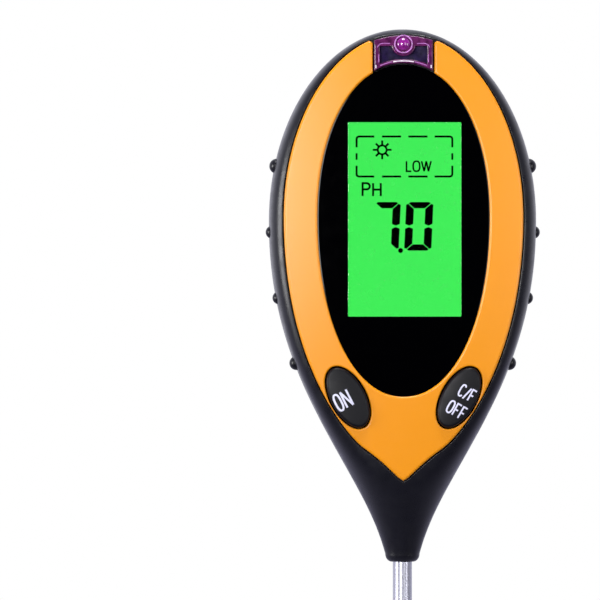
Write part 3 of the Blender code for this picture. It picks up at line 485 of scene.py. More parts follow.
def panel(name, outline, holes, side, reach, back, edges, spacing=2.0):
    """Solid whose face lies at y = side * reach(x, h) and whose back is flat.

    `edges` holds the rounding of the face's outer edge and of the edge round each hole.
    """
    verts = []
    faces = []
    tops = []
    loops = [divided(loop + loop[:1], spacing)[:-1] for loop in [outline] + list(holes)]
    for points, edge in zip(loops, edges):
        inward = -1.0 if points is loops[0] else 1.0
        room = clearance(np.asarray(points, float), [loop for loop in loops if loop is not points])
        edge = np.minimum(edge, EDGE_SHARE * room)
        rings = [[at(x, back, h) for x, h in points]]
        for sine, cosine in quarter(ROUND_STEPS):
            moved = grown(points, inward * edge * (1.0 - cosine))
            sunk = edge * (1.0 - sine)
            rings.append([at(x, side * (reach(x, h) - drop), h) for (x, h), drop in zip(moved, sunk)])
        moved = grown(points, inward * np.minimum(edge + GUARD, GUARD_SHARE * room))
        rings.append([at(x, side * reach(x, h), h) for x, h in moved])
        tops.append(moved)
        strip(verts, faces, rings)
    fill(verts, faces, tops, lambda x, h: side * reach(x, h), spacing)
    fill(verts, faces, loops, level(back), 0.0)
    return shape(name, verts, faces)


def flared(name, outline, side, reach, edge, end):
    """Cutter for a hole whose mouth is rounded where it leaves y = side * reach(x, h)."""
    rings = [[at(x, end, h) for x, h in outline]]
    for sine, cosine in quarter(ROUND_STEPS):
        moved = grown(outline, edge * (1.0 - cosine))
        rings.append([at(x, side * (reach(x, h) - edge * (1.0 - sine)), h) for x, h in moved])
    rings.append([at(x, side * REACH, h) for x, h in moved])
    return loft(name, rings)


def rounded_box(x0, x1, h0, h1, radius, steps=6):
    """Counter-clockwise outline of a rectangle with round corners."""
    points = []
    corners = ((x1, h1, 0), (x0, h1, 1), (x0, h0, 2), (x1, h0, 3))
    for x, h, turn in corners:
        cx = x - radius if x == x1 else x + radius
        ch = h - radius if h == h1 else h + radius
        for k in range(steps + 1):
            angle = math.pi / 2.0 * (turn + k / steps)
            points.append((cx + radius * math.cos(angle), ch + radius * math.sin(angle)))
    return points


# ---- head surfaces
def smooth_min(a, b, power):
    if a <= 0.0:
        return 0.0
    low = min(a, b)
    return low * (1.0 + (low / max(a, b)) ** power) ** (-1.0 / power)


def smooth_step(value):
    t = min(max(value, 0.0), 1.0)
    return t * t * (3.0 - 2.0 * t)


def bezier(controls, t):
    weights = ((1 - t) ** 3, 3 * t * (1 - t) ** 2, 3 * t * t * (1 - t), t ** 3)
    return tuple(sum(w * point[k] for w, point in zip(weights, controls)) for k in (0, 1))


def bezier_width(controls, h):
    """Half width of a falling Bezier outline at height h."""
    low, high = 0.0, 1.0
    for _ in range(40):
        middle = (low + high) / 2.0
        if bezier(controls, middle)[1] > h:
            low = middle
        else:
            high = middle
    return bezier(controls, low)[0]


def head_width(h, inset=0.0):
    """Half width of the head at height h, drawn in by `inset`."""
    if h >= HEAD_LOWER[0][1]:
        rise = max(h - WIDEST, 0.0) / (HEAD_HEIGHT - WIDEST - inset)
        return (HEAD_HALF_WIDTH - inset) * math.sqrt(max(1.0 - rise * rise, 0.0))
    if h >= HEAD_LOWER[3][1]:
        return bezier_width(HEAD_LOWER, h) - inset
    if h >= NECK_CORNER:
        return bezier_width(HEAD_NECK, h) - inset
    drop = (NECK_CORNER - h) / NECK_CORNER
    lip = HEAD_NECK[3][0] - NECK_FLAT_RADIUS
    return NECK_FLAT_RADIUS + lip * math.sqrt(max(1.0 - drop * drop, 0.0)) - inset


def head_depth(h, limit, inset=0.0):
    """Depth of the head at height h before its face or back trims it."""
    width = head_width(h) if h < WIDEST else HEAD_HALF_WIDTH
    depth = smooth_min(width, limit, DEPTH_BLEND) - inset
    if h <= WIDEST:
        return depth
    rise = (h - WIDEST) / (HEAD_HEIGHT - WIDEST - inset)
    return depth * max(1.0 - rise ** EDGE_POWER, 0.0) ** (1.0 / EDGE_POWER)


def section_power(h):
    """Round section at the neck, squarer section in the head."""
    return 2.0 + (EDGE_POWER - 2.0) * smooth_step((h - ROUND_UNTIL) / SQUARE_OVER)


def crown(x, h):
    """Distance of the face plate's front surface from the parting plane."""
    side = CROWN_SIDE_DROP * (x / PLATE_HALF_WIDTH) ** 2
    end = CROWN_END_DROP * ((h - CROWN_CENTRE) / CROWN_END_REACH) ** 2
    return CROWN_DEPTH - side - end


def case_reach(x, h, limit):
    """Reach of a case half at one place, before its face or back trims it."""
    power = section_power(h)
    part = min(abs(x) / head_width(h), 1.0)
    return head_depth(h, limit) * (1.0 - part ** power) ** (1.0 / power)


def head_front(x, h):
    """Forward reach of the front case."""
    return smooth_min(case_reach(x, h, FRONT_DEPTH), crown(x, h), FACE_BLEND)


def head_back(x, h):
    """Backward reach of the rear case."""
    return smooth_min(case_reach(x, h, REAR_DEPTH), BACK_FLAT, BACK_BLEND)


def half_loop(h, side, inset, seam, round_off, count):
    """One closed loop of a case half: its arc and its chord on the parting plane."""
    width = max(head_width(h, inset), LEAST_SPAN)
    depth = max(head_depth(h, REAR_DEPTH if side > 0 else FRONT_DEPTH, inset), LEAST_SPAN)
    round_off = min(round_off, width / 3.0, depth / 3.0)
    power = section_power(h)
    first = math.asin(min((seam + round_off) / depth, 0.9)) if seam > 0.0 else 0.0
    arc = []
    for i in range(count + 1):
        angle = first + (math.pi - 2.0 * first) * i / count
        c, s = math.cos(angle), math.sin(angle)
        scale = (abs(c) ** power + abs(s) ** power) ** (-1.0 / power)
        x, y = width * c * scale, depth * s * scale
        y = smooth_min(y, crown(x, h), FACE_BLEND) if side < 0 else smooth_min(y, BACK_FLAT, BACK_BLEND)
        arc.append((x, max(y, seam + round_off)))
    edge = [(arc[0][0] - round_off * (1.0 - sine), seam + round_off * (1.0 - cosine))
            for sine, cosine in quarter(3)[:-1]]
    mirrored = [(-x, y) for x, y in reversed(edge)]
    return [at(x, side * y, h) for x, y in edge + arc + mirrored]


def outer_levels():
    """Heights of the outer loops: the neck lip, the flanks, then the rounded top."""
    lip = [NECK_CORNER * (1.0 - cosine) for _, cosine in quarter(8)[:-1]]
    flank = [NECK_CORNER + (WIDEST - NECK_CORNER) * k / 64 for k in range(64)]
    return lip + flank + [WIDEST + (HEAD_HEIGHT - WIDEST) * sine for sine, _ in quarter(44)[:-1]]


def inner_levels():
    low, high = CAVITY_SPAN
    return [low + (high - low) * sine for sine, _ in quarter(30)]


# ---- flat outlines
def egg(grow=0.0, count=180):
    """Outline of the display window, grown by `grow`."""
    power = 2.0 / WINDOW_POWER
    points = []
    for i in range(count):
        angle = 2.0 * math.pi * (i + 0.5) / count
        c, s = math.cos(angle), math.sin(angle)
        reach = WINDOW_UP if s > 0 else WINDOW_DOWN
        x = math.copysign((WINDOW_HALF_WIDTH + grow) * abs(c) ** power, c)
        points.append((x, WINDOW_CENTRE + math.copysign((reach + grow) * abs(s) ** power, s)))
    return points


def egg_top(x, grow=0.0):
    """Height of the window's upper edge at x."""
    part = abs(x) / (WINDOW_HALF_WIDTH + grow)
    return WINDOW_CENTRE + (WINDOW_UP + grow) * (1.0 - part ** WINDOW_POWER) ** (1.0 / WINDOW_POWER)


def plate_arc(x):
    """Height of the face plate's upper edge at x."""
    return PLATE_WIDEST + PLATE_UPPER_REACH * math.sqrt(1.0 - (x / PLATE_HALF_WIDTH) ** 2)


def plate_flank(corner_x):
    """Right edge of the face plate from the lower tip up to x = corner_x at the top."""
    points = []
    for k in range(20, 0, -1):
        x, h = bezier(PLATE_SHOULDER, k / 21.0)
        points.append((x, PLATE_TIP + math.hypot(h - PLATE_TIP, PLATE_TIP_ROUND)))
    points += [bezier(PLATE_LOWER, k / 50.0) for k in range(50, 0, -1)]
    corner = math.acos(corner_x / PLATE_HALF_WIDTH)
    for k in range(50):
        angle = corner * k / 49.0
        points.append((PLATE_HALF_WIDTH * math.cos(angle),
                       PLATE_WIDEST + PLATE_UPPER_REACH * math.sin(angle)))
    return points


def lens_top(x, inset=LENS_TOP_INSET):
    """Height of the lens's upper edge at x."""
    fall = math.sqrt(1.0 - (x / (HEAD_HALF_WIDTH - inset)) ** 2)
    return WIDEST + (HEAD_HEIGHT - WIDEST - inset) * fall


def pocket_outline():
    """Outline of the plate and the lens together, for the pocket in the case."""
    right = plate_flank(LENS_HALF_WIDTH + 2.25)
    top = [LENS_HALF_WIDTH * (1.0 - k / 12.0) for k in range(25)]
    top = [(x, lens_top(x)) for x in top]
    return [(0.0, PLATE_TIP + PLATE_TIP_ROUND)] + right + top + [(-x, h) for x, h in reversed(right)]


def plate_outline():
    """The plate runs round the window like a C: its two ends meet the lens's sides."""
    side = LENS_HALF_WIDTH + GAP
    near = side + 1.4 * PLATE_CORNER
    fall = PLATE_UPPER_REACH * near / PLATE_HALF_WIDTH ** 2 / math.sqrt(1.0 - (near / PLATE_HALF_WIDTH) ** 2)
    lean = math.atan(fall)
    start = side + PLATE_CORNER * (1.0 + math.sin(lean))
    right = plate_flank(start)
    middle = plate_arc(start) - PLATE_CORNER * math.cos(lean)
    turn = []
    for k in range(1, 8):
        angle = lean - (lean + math.pi / 2.0) * k / 7
        turn.append((side + PLATE_CORNER * (1.0 + math.sin(angle)), middle + PLATE_CORNER * math.cos(angle)))
    end = egg_top(side, WINDOW_GAP)
    window = [(x, h) for x, h in egg(WINDOW_GAP) if h < WINDOW_CENTRE or
              abs(x) > side and math.hypot(abs(x) - side, h - end) > SHARP_CLEAR]
    upper_right = [p for p in window if p[0] > 0.0 and p[1] > WINDOW_CENTRE + 30.0]
    first = window.index(min(upper_right))
    clockwise = [window[(first - i) % len(window)] for i in range(len(window))]
    ends = [(side, end + (middle - end) * k / 3) for k in range(2, -1, -1)]
    path = [(0.0, PLATE_TIP + PLATE_TIP_ROUND)] + right + turn + ends + clockwise
    return path + [(-x, h) for x, h in reversed(turn + ends)] + [(-x, h) for x, h in reversed(right)]


def lens_outline(grow=0.0, count=12):
    """Sensor lens: its lower edge runs along the window, its upper edge along the head."""
    half = LENS_HALF_WIDTH + grow
    steps = [-half + 2.0 * half * k / count for k in range(count + 1)]
    lower = [(x, egg_top(x, LENS_GROW - grow)) for x in steps]
    return lower + [(x, lens_top(x, LENS_TOP_INSET - grow)) for x in reversed(steps)]


def key_axes(side):
    """Unit long and short axes of a key; side -1 is the left key."""
    long_axis = Vector((side * math.sin(KEY_TILT), math.cos(KEY_TILT)))
    return long_axis, Vector((long_axis.y, -long_axis.x))


def key_outline(side, grow_long, grow_short=None, count=72):
    """Leaning ellipse round one key centre, counter-clockwise."""
    grow_short = grow_long if grow_short is None else grow_short
    long_axis, short_axis = key_axes(side)
    centre = Vector((side * KEY_X, KEY_H))
    points = []
    for i in range(count):
        angle = 2.0 * math.pi * i / count
        offset = (long_axis * (KEY_LONG + grow_long) * math.sin(angle)
                  + short_axis * (KEY_SHORT + grow_short) * math.cos(angle))
        points.append(tuple(centre + offset))
    return points


def key_reach(side, x, h):
    """Forward reach of a key's crowned cap."""
    long_axis, short_axis = key_axes(side)
    offset = Vector((x - side * KEY_X, h - KEY_H))
    along = offset.dot(long_axis) / (KEY_LONG - KEY_EDGE)
    across = offset.dot(short_axis) / (KEY_SHORT - KEY_EDGE)
    return KEY_TOP - KEY_CROWN * min(along * along + across * across, 1.0)


# ---- materials
def add(tree, kind, wires=(), values=(), **settings):
    """Add a shader node with its incoming wires, its fixed inputs and its settings."""
    node = tree.nodes.new("ShaderNode" + kind)
    for name, value in settings.items():
        setattr(node, name, value)
    for socket, value in dict(values).items():
        node.inputs[socket].default_value = value
    for socket, source in dict(wires).items():
        tree.links.new(source, node.inputs[socket])
    return node


def moulded(name, colour, roughness, metallic=0.0, grain=0.25, depth=0.004, mottle=0.06,
            patch=7.0, spread=0.06, stretch=(1.0, 1.0, 1.0), **sockets):
    """Solid material with colour mottling, uneven gloss and a fine surface grain.

    grain and depth are the grain's size and height, patch the size of the mottling.
    """
    mat = bpy.data.materials.new(name)
    mat.use_nodes = True
    tree = mat.node_tree
    shader = tree.nodes["Principled BSDF"]
    shader.inputs["Metallic"].default_value = metallic
    for socket, value in sockets.items():
        shader.inputs[socket.replace("_", " ")].default_value = value
    spot = add(tree, "TexCoord").outputs["Object"]
    spot = add(tree, "Mapping", {"Vector": spot}, {"Scale": stretch}).outputs["Vector"]

    def noise(size, detail):
        values = {"Scale": 1.0 / (size * MM), "Detail": detail}
        return add(tree, "TexNoise", {"Vector": spot}, values).outputs["Fac"]

    low, high = NOISE_SPAN
    tone = add(tree, "ValToRGB", {"Fac": noise(patch, 4.0)})
    for element, factor in zip(tone.color_ramp.elements, (1.0 - mottle, 1.0 + mottle)):
        element.color = (*(min(c * factor, 1.0) for c in linear(*colour)[:3]), 1.0)
    tone.color_ramp.elements[0].position = low
    tone.color_ramp.elements[1].position = high
    gloss = add(tree, "MapRange", {"Value": noise(GLOSS_PATCH, 3.0)},
                {"From Min": low, "From Max": high,
                 "To Min": max(roughness - spread, 0.02), "To Max": roughness + spread})
    bump = add(tree, "Bump", {"Height": noise(grain, 2.0)}, {"Distance": depth * MM, "Strength": 1.0})
    tree.links.new(tone.outputs["Color"], shader.inputs["Base Color"])
    tree.links.new(gloss.outputs["Result"], shader.inputs["Roughness"])
    tree.links.new(bump.outputs["Normal"], shader.inputs["Normal"])
    return mat


def glowing(name, colour, strength, roughness=0.25):
    """Lit display glass: even light with a faint backlight gradient."""
    mat = moulded(name, colour, roughness, grain=0.4, depth=0.001, mottle=0.006)
    links = mat.node_tree.links
    shader = mat.node_tree.nodes["Principled BSDF"]
    tone = shader.inputs["Base Color"].links[0].from_socket
    links.new(tone, shader.inputs["Emission Color"])
    links.remove(shader.inputs["Base Color"].links[0])
    shader.inputs["Base Color"].default_value = linear(2, 10, 3)
    shader.inputs["Specular IOR Level"].default_value = 0.1
    shader.inputs["Emission Strength"].default_value = strength
    return mat


def jacket(name, bottom, band, line):
    """Printed battery jacket: a dark body, a lighter band at the top and a thin line between."""
    mat = moulded(name, bottom, 0.32, grain=0.5, depth=0.003)
    tree = mat.node_tree
    shader = tree.nodes["Principled BSDF"]
    spot = add(tree, "TexCoord").outputs["Object"]
    height = add(tree, "SeparateXYZ", {"Vector": spot}).outputs["Z"]
    low, high = extent("battery")
    edge = at(0.0, 0.0, low.z + (high.z - low.z) * BAND_START).z
    colour = shader.inputs["Base Color"].links[0].from_socket
    for start, paint in ((edge, line), (edge + BAND_LINE * MM, band)):
        above = add(tree, "Math", {0: height}, {1: start}, operation="GREATER_THAN").outputs["Value"]
        mix = add(tree, "Mix", data_type="RGBA")
        mix.inputs["B"].default_value = linear(*paint)
        tree.links.new(above, mix.inputs["Factor"])
        tree.links.new(colour, mix.inputs["A"])
        colour = mix.outputs["Result"]
    tree.links.new(colour, shader.inputs["Base Color"])
    return mat


BLACK = moulded("black_shell", (20, 20, 28), 0.31, grain=0.3, depth=0.0022, mottle=0.10,
                Specular_IOR_Level=0.4)
ORANGE = moulded("orange_shell", (238, 149, 12), 0.30, grain=0.3, depth=0.002, mottle=0.006, spread=0.015)
GLOSS_BLACK = moulded("window_black", (1, 1, 2), 0.05, grain=2.0, depth=0.0006, spread=0.015,
                      Specular_IOR_Level=0.35)
CLEAR = moulded("window_clear", (252, 254, 252), 0.03, grain=2.0, depth=0.0004, mottle=0.0, spread=0.01,
                Transmission_Weight=1.0, IOR=1.46)
LENS = moulded("lens_violet", (86, 30, 78), 0.08, grain=0.8, depth=0.004, mottle=0.55, patch=1.3,
               spread=0.03)
LENS_DARK = moulded("lens_well", (38, 26, 66), 0.18, grain=0.8, depth=0.006, mottle=0.4, patch=1.0)
# lilac of the ring round the dome, also used for the lens's painted glint strokes
LENS_RING_AND_GLINTS = moulded("lens_ring", (176, 112, 186), 0.12, grain=0.8, depth=0.002, mottle=0.35, patch=0.9)
# near-white painted highlight: the bright arc and corner strokes along the lens's lower edge
LENS_PAINTED_HIGHLIGHT = moulded("lens_highlight_paint", (236, 216, 244), 0.12, grain=0.8, depth=0.002, mottle=0.3, patch=0.8)
DOME = moulded("lens_dome", (130, 32, 130), 0.07, grain=0.9, depth=0.003, mottle=0.4, patch=0.8,
               Coat_Weight=1.0, Coat_Roughness=0.03)
KEY = moulded("key_rubber", (13, 13, 19), 0.4, grain=0.18, depth=0.005, mottle=0.10,
              Specular_IOR_Level=0.2)
LEGEND = moulded("legend_print", (214, 214, 240), 0.5, grain=0.2, depth=0.004, mottle=0.04)
GREY_RUBBER = moulded("grey_rubber", (120, 122, 124), 0.75, grain=0.3, depth=0.006)
NECK_RUBBER = moulded("neck_rubber", (20, 20, 22), 0.6, grain=0.2, depth=0.006)
CARBON = moulded("carbon", (26, 26, 26), 0.7, grain=0.15, depth=0.006, mottle=0.2)
BOARD = moulded("board_green", (22, 92, 52), 0.35, grain=0.6, depth=0.006, mottle=0.2)
CHIP = moulded("chip_black", (24, 24, 26), 0.55, grain=0.12, depth=0.005)
LCD = glowing("lcd_green", (68, 245, 93), 1.0)
INK = moulded("lcd_ink", (2, 8, 3), 0.9, grain=0.5, depth=0.001, Specular_IOR_Level=0.0)
DIFFUSER = moulded("diffuser_white", (236, 238, 236), 0.4, grain=0.5, depth=0.004)
HOLDER = moulded("holder_black", (20, 20, 22), 0.55, grain=0.25, depth=0.006)
STEEL = moulded("probe_steel", (176, 176, 190), 0.34, metallic=0.6, grain=0.05, depth=0.0003,
                mottle=0.05, stretch=(1.0, 1.0, 0.03))
SCREW = moulded("screw_steel", (150, 150, 156), 0.3, metallic=1.0, grain=0.15, depth=0.003)
COPPER = moulded("copper", (196, 124, 72), 0.28, metallic=1.0, grain=0.05, depth=0.0025,
                 mottle=0.12, stretch=(1.0, 1.0, 0.03))
BRASS = moulded("brass", (190, 155, 80), 0.3, metallic=1.0, grain=0.15, depth=0.003)
INSULATOR = moulded("insulator", (26, 26, 28), 0.5, grain=0.2, depth=0.004)
CELL = jacket("battery_jacket", (28, 52, 112), (196, 200, 206), (226, 168, 44))
TERMINAL = moulded("battery_terminal", (188, 188, 192), 0.26, metallic=1.0, grain=0.2, depth=0.003)
FOAM = moulded("foam_grey", (84, 86, 90), 0.95, grain=0.45, depth=0.12, mottle=0.25)
RED_WIRE = moulded("wire_red", (178, 24, 24), 0.42, grain=0.3, depth=0.003)
BLACK_WIRE = moulded("wire_black", (22, 22, 22), 0.42, grain=0.3, depth=0.003)
EPOXY = moulded("epoxy_dark", (36, 34, 40), 0.3, grain=0.5, depth=0.003)


def place(piece, mat, slot, *nodes, body="housing"):
    """Give a new piece its material and its body, and hide the CAD nodes it stands for; `slot` is not used.
    """
    piece.data.materials.clear()
    piece.data.materials.append(mat)
    normals = piece.modifiers.new("normals", "WEIGHTED_NORMAL")
    normals.keep_sharp = True
    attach(piece, body)
    if nodes:
        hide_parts(*nodes)
    return piece


# ---- cases
def cut_neck(case):
    """Bore for the probe and pocket for its collar."""
    tube = extent("probe_tube")[1].x + FIT
    low, high = extent("probe_collar")
    pocket = high.x + GAP
    cut(case, turned("bore", ((0.0, -2.0), (tube, -2.0), (tube, low.z - GAP), (pocket, low.z - GAP),
                              (pocket, high.z + GAP), (tube, high.z + GAP), (tube, BORE_TOP),
                              (0.0, BORE_TOP)), 48))


def cavity_tool(side, depth):
    """Space inside one case half, flat at `depth` from the parting plane."""
    rings = []
    for h in inner_levels():
        loop = half_loop(h, side, WALL, -1.0, 0.0, 40)
        limit = side * depth * MM
        for point in loop:
            point.y = max(point.y, limit) if side < 0 else min(point.y, limit)
        rings.append(loop)
    return loft("cavity", rings)


def case_screws():
    """Place and box of each case screw as (x, h, low, high)."""
    screws = []
    for name in sorted(frame["nodes"]):
        if name.startswith("case_screw"):
            low, high = extent(name)
            screws.append(((low.x + high.x) / 2.0, (low.z + high.z) / 2.0, low, high))
    return screws


def case_half(name, side):
    return loft(name, [half_loop(h, side, 0.0, SEAM, SEAM_ROUND, 88) for h in outer_levels()])


def make_front_case():
    case = case_half("front_shell", -1)
    for h, radius, sink in NUBS:
        profile = [(0.0, h - radius)]
        for k in range(1, 16):
            angle = -math.pi / 2.0 + math.pi * k / 16
            profile.append((radius * math.cos(angle), h + radius * math.sin(angle)))
        profile.append((0.0, h + radius))
        for side in (-1, 1):
            join(case, turned("nub", profile, 32, side * (head_width(h) - sink), NUB_PLANE))
    cut(case, cavity_tool(-1, -FLOOR_BACK))
    cut(case, flared("pocket", grown(pocket_outline(), GAP), -1, head_front, POCKET_EDGE, FLOOR_FRONT))
    low, high = extent("lcd_holder")
    cut(case, box("display_opening", low.x - HOLDER_GAP, high.x + HOLDER_GAP, FLOOR_FRONT - 1.0,
                  FLOOR_BACK + 1.0, low.z - HOLDER_GAP, high.z + HOLDER_GAP))
    for side in (-1, 1):
        around = key_outline(side, FLOOR_KEY_GAP, FLOOR_KEY_GAP, 60)
        cut(case, prism("key_opening", around, FLOOR_FRONT - 1.1, FLOOR_BACK + 1.2))
    cut_neck(case)
    place(case, BLACK, "black_shell", "front_case")
    for number, (x, h, _, _) in enumerate(case_screws()):
        post = turned_y("screw_post_%d" % number, POST_PROFILE, x, h, 32)
        place(post, BLACK, "black_shell")


def make_rear_case():
    low, high = extent("battery_door")
    half = high.x - DOOR_PIVOT + DOOR_GAP
    opening = (-half, half, low.z - 0.2, high.z - 0.65)
    case = case_half("rear_shell", 1)
    cavity = cavity_tool(1, BACK_FLAT - WALL)
    cut(cavity, box("well", -half - WELL_WALL, half + WELL_WALL, 0.1 + SEAM, REACH,
                    opening[2] - WELL_WALL, opening[3] + WELL_WALL))
    for x, h, _, _ in case_screws():
        cut(cavity, prism("post", circle(x, h, POST_RADIUS), -REACH, REACH))
    cut(case, cavity)
    cut(case, box("well_space", -WELL_HALF, WELL_HALF, 1.0, low.y, opening[2] + 1.25, opening[3] - 1.05))
    cut(case, flared("door_opening", rounded_box(*opening, 0.8), 1, level(BACK_FLAT), 0.3, low.y - 0.4))
    cut(case, box("latch_notch", -LATCH_HALF - 0.35, LATCH_HALF + 0.35, low.y + 0.2, REACH,
                  high.z - 1.0, high.z + 0.4))
    cut(case, box("lead_notch", -5.5, 5.5, 1.0, 4.2, high.z - 2.5, high.z + 2.0))
    for x, h, _, screw_high in case_screws():
        around = circle(x, h, RECESS_RADIUS, 40)
        cut(case, flared("recess", around, 1, head_back, 0.3, screw_high.y - SCREW_HEAD - FIT))
    cut_neck(case)
    place(case, BLACK, "black_shell", "rear_case")


# ---- face
def make_face():
    holes = [key_outline(side, KEY_GAP) for side in (-1, 1)]
    plate = panel("face_panel", plate_outline(), holes, -1, crown, PLATE_BACK,
                  (PLATE_EDGE, KEY_HOLE_EDGE, KEY_HOLE_EDGE), 1.6)
    place(plate, ORANGE, "orange_shell", "face_plate")

    half_w, half_h = APERTURE[0] / 2.0, APERTURE[1] / 2.0
    clear = rounded_box(APERTURE_SHIFT - half_w, APERTURE_SHIFT + half_w,
                        LCD_CENTRE - half_h, LCD_CENTRE + half_h, 0.15, 2)

    def pane_reach(x, h):
        return crown(x, h) - WINDOW_SINK

    pane = panel("window_pane", egg(), [clear], -1, pane_reach, WINDOW_BACK, (0.02, 0.01), 2.0)
    place(pane, GLOSS_BLACK, "window_black", "display_window")
    insert = panel("window_insert", grown(clear, -0.01), [], -1, pane_reach, WINDOW_BACK - 1.6, (0.01,))
    place(insert, CLEAR, "window_black")


def lens_reach(x, h):
    return crown(x, h) + LENS_PROUD


def lens_low(x, rise=0.0):
    """Height of the lens's lower edge at x, raised by `rise`."""
    return egg_top(x, LENS_GROW) + rise


def make_lens():
    """Violet lens: rails and a round boss over a dark well, with a dome in a bright ring."""
    start = math.asin((WELL_SHELF - DOME_HEIGHT) / BOSS_RADIUS)
    steps = [-LENS_WELL_HALF + 2.0 * LENS_WELL_HALF * k / 20 for k in range(21)]
    well = [(x, lens_low(x, 0.9)) for x in steps] + [(LENS_WELL_HALF, WELL_SHELF)]
    for k in range(25):
        angle = start + (-math.pi - 2.0 * start) * k / 24
        well.append((BOSS_RADIUS * math.cos(angle), DOME_HEIGHT + BOSS_RADIUS * math.sin(angle)))
    well.append((-LENS_WELL_HALF, WELL_SHELF))
    cover = panel("lens_cover", lens_outline(), [well], -1, lens_reach, LENS_BACK, (0.25, 0.2), 1.3)
    place(cover, LENS, "lens_violet", "sensor_lens")
    base = prism("lens_base", grown(lens_outline(), -0.1), LENS_BACK + 0.05, FLOOR_FRONT - 0.1)
    place(base, LENS_DARK, "lens_violet")

    # Painted highlights: `edges` holds near-white strokes for the bright middle of the arc along the window
    # and for the lens's lower corners; `glints` holds dimmer lilac painted glints for the arc's ends and the
    # lines beside the well.
    edges = [[(x, lens_low(x, 0.5)) for x in (-2.4 + k * 0.4 for k in range(13))]]
    glints = []
    for side in (-1, 1):
        glints.append([(side * x, h) for x, h in arc(4.6, 118.3, 1.35, 0.95, 0, 90, 8) + [(3.1, 119.2)]])
        edges.append([(side * 6.35, lens_low(6.35, rise)) for rise in (0.4, 1.1)])
        glints.append([(side * 5.7, lens_low(5.7, rise)) for rise in (1.4, 3.2)])
        glints.append([(side * x, lens_low(x, 0.5)) for x in (2.6 + k * 0.4 for k in range(8))])
    for name, paths, width, mat in (("lens_glints", glints, 0.17, LENS_RING_AND_GLINTS),
                                    ("lens_painted_highlights", edges, 0.26, LENS_PAINTED_HIGHLIGHT)):
        lines = raise_strokes(name, paths, width, lens_reach, 0.03, 0.06)
        place(lines, mat, "lens_violet")

    loops = []
    for out, forward in circle(0.0, 0.0, RING_WIRE, 12):
        loops.append([at(x, -lens_reach(x, h) - forward, h)
                      for x, h in circle(0.0, DOME_HEIGHT, RING_RADIUS + out, 64)])
    place(hoop("lens_ring", loops), LENS_RING_AND_GLINTS, "lens_violet")
    front = 0.5 - lens_reach(0.0, DOME_HEIGHT)
    profile = [(AXIS, LENS_BACK), (DOME_RADIUS, LENS_BACK)]
    for sine, cosine in quarter(12):
        profile.append((max(DOME_RADIUS * cosine, AXIS), front - DOME_FLATTEN * DOME_RADIUS * sine))
    place(turned_y("lens_dome", profile, 0.0, DOME_HEIGHT, 64), DOME, "lens_violet")


# ---- strokes and legends
def arc(cx, cy, rx, ry, start, end, steps=12, power=2.0):
    """Points along part of a superellipse; angles in degrees."""
    points = []
    for k in range(steps + 1):
        angle = math.radians(start + (end - start) * k / steps)
        c, s = math.cos(angle), math.sin(angle)
        points.append((cx + rx * math.copysign(abs(c) ** (2.0 / power), c),
                       cy + ry * math.copysign(abs(s) ** (2.0 / power), s)))
    return points


def letter(symbol, width, height):
    """Strokes of one upright letter in a box `width` wide and `height` tall."""
    w, t = width, height
    mid = t / 2.0
    rx = w / 2.0
    strokes = {
        "O": [arc(rx, mid, rx, mid, -90, 270, 32, 2.6)],
        "C": [arc(rx, mid, rx, mid, 38, 322, 26, 2.6)],
        "N": [[(0, 0), (0, t)], [(0, t), (w, 0)], [(w, 0), (w, t)]],
        "F": [[(0, 0), (0, t), (w, t)], [(0, mid), (w * 0.8, mid)]],
        "L": [[(0, t), (0, 0), (w, 0)]],
        "W": [[(0, t), (w * 0.27, 0)], [(w * 0.27, 0), (rx, t)], [(rx, t), (w * 0.73, 0)],
              [(w * 0.73, 0), (w, t)]],
        "P": [[(0, 0), (0, t), (w * 0.55, t)] + arc(w * 0.55, t * 0.76, w * 0.45, t * 0.24, 90, -90, 8)
              + [(0, t * 0.52)]],
        "H": [[(0, 0), (0, t)], [(w, 0), (w, t)], [(0, mid), (w, mid)]],
        "/": [[(0, -0.06 * t), (w, t)]],
    }
    return strokes[symbol]


def ribbon(path, width):
    """Outline of a stroke of constant width along a path, with mitred bends."""
    points = [Vector(p) for p in path]
    left = []
    right = []
    for i, here in enumerate(points):
        before = points[i - 1] if i else None
        after = points[i + 1] if i + 1 < len(points) else None
        first = (here - before).normalized() if before is not None else (after - here).normalized()
        second = (after - here).normalized() if after is not None else first
        normal = Vector((-first.y - second.y, first.x + second.x)).normalized()
        stretch = 1.0 / max(normal.dot(Vector((-first.y, first.x))), 0.45)
        left.append(here + normal * width * stretch / 2.0)
        right.append(here - normal * width * stretch / 2.0)
    return left, right


def raise_strokes(name, strokes, width, reach, lift, sink):
    """Thin solids for (x, h) paths that stand `lift` out of a face and go `sink` into it."""
    verts = []
    faces = []
    for path in strokes:
        left, right = ribbon(divided(path), width)
        count = len(left)
        base = len(verts)
        for offset in (lift, -sink):
            for row in (left, right):
                verts.extend(at(x, -reach(x, h) - offset, h) for x, h in row)
        fl, fr, bl, br = (base + count * k for k in range(4))
        for i in range(count - 1):
            faces.append((fl + i, fl + i + 1, fr + i + 1, fr + i))
            faces.append((bl + i, br + i, br + i + 1, bl + i + 1))
            faces.append((fl + i, bl + i, bl + i + 1, fl + i + 1))
            faces.append((fr + i, fr + i + 1, br + i + 1, br + i))
        faces.append((fl, fr, br, bl))
        faces.append((fl + count - 1, bl + count - 1, br + count - 1, fr + count - 1))
    return shape(name, verts, faces)


def word(text, widths, height, space, x=0.0, h=0.0):
    """Strokes of a word, centred on (x, h)."""
    total = sum(widths) + space * (len(text) - 1)
    pen = -total / 2.0
    strokes = []
    for symbol, width in zip(text, widths):
        for path in letter(symbol, width, height):
            strokes.append([(a + pen + x, b - height / 2.0 + h) for a, b in path])
        pen += width + space
    return strokes


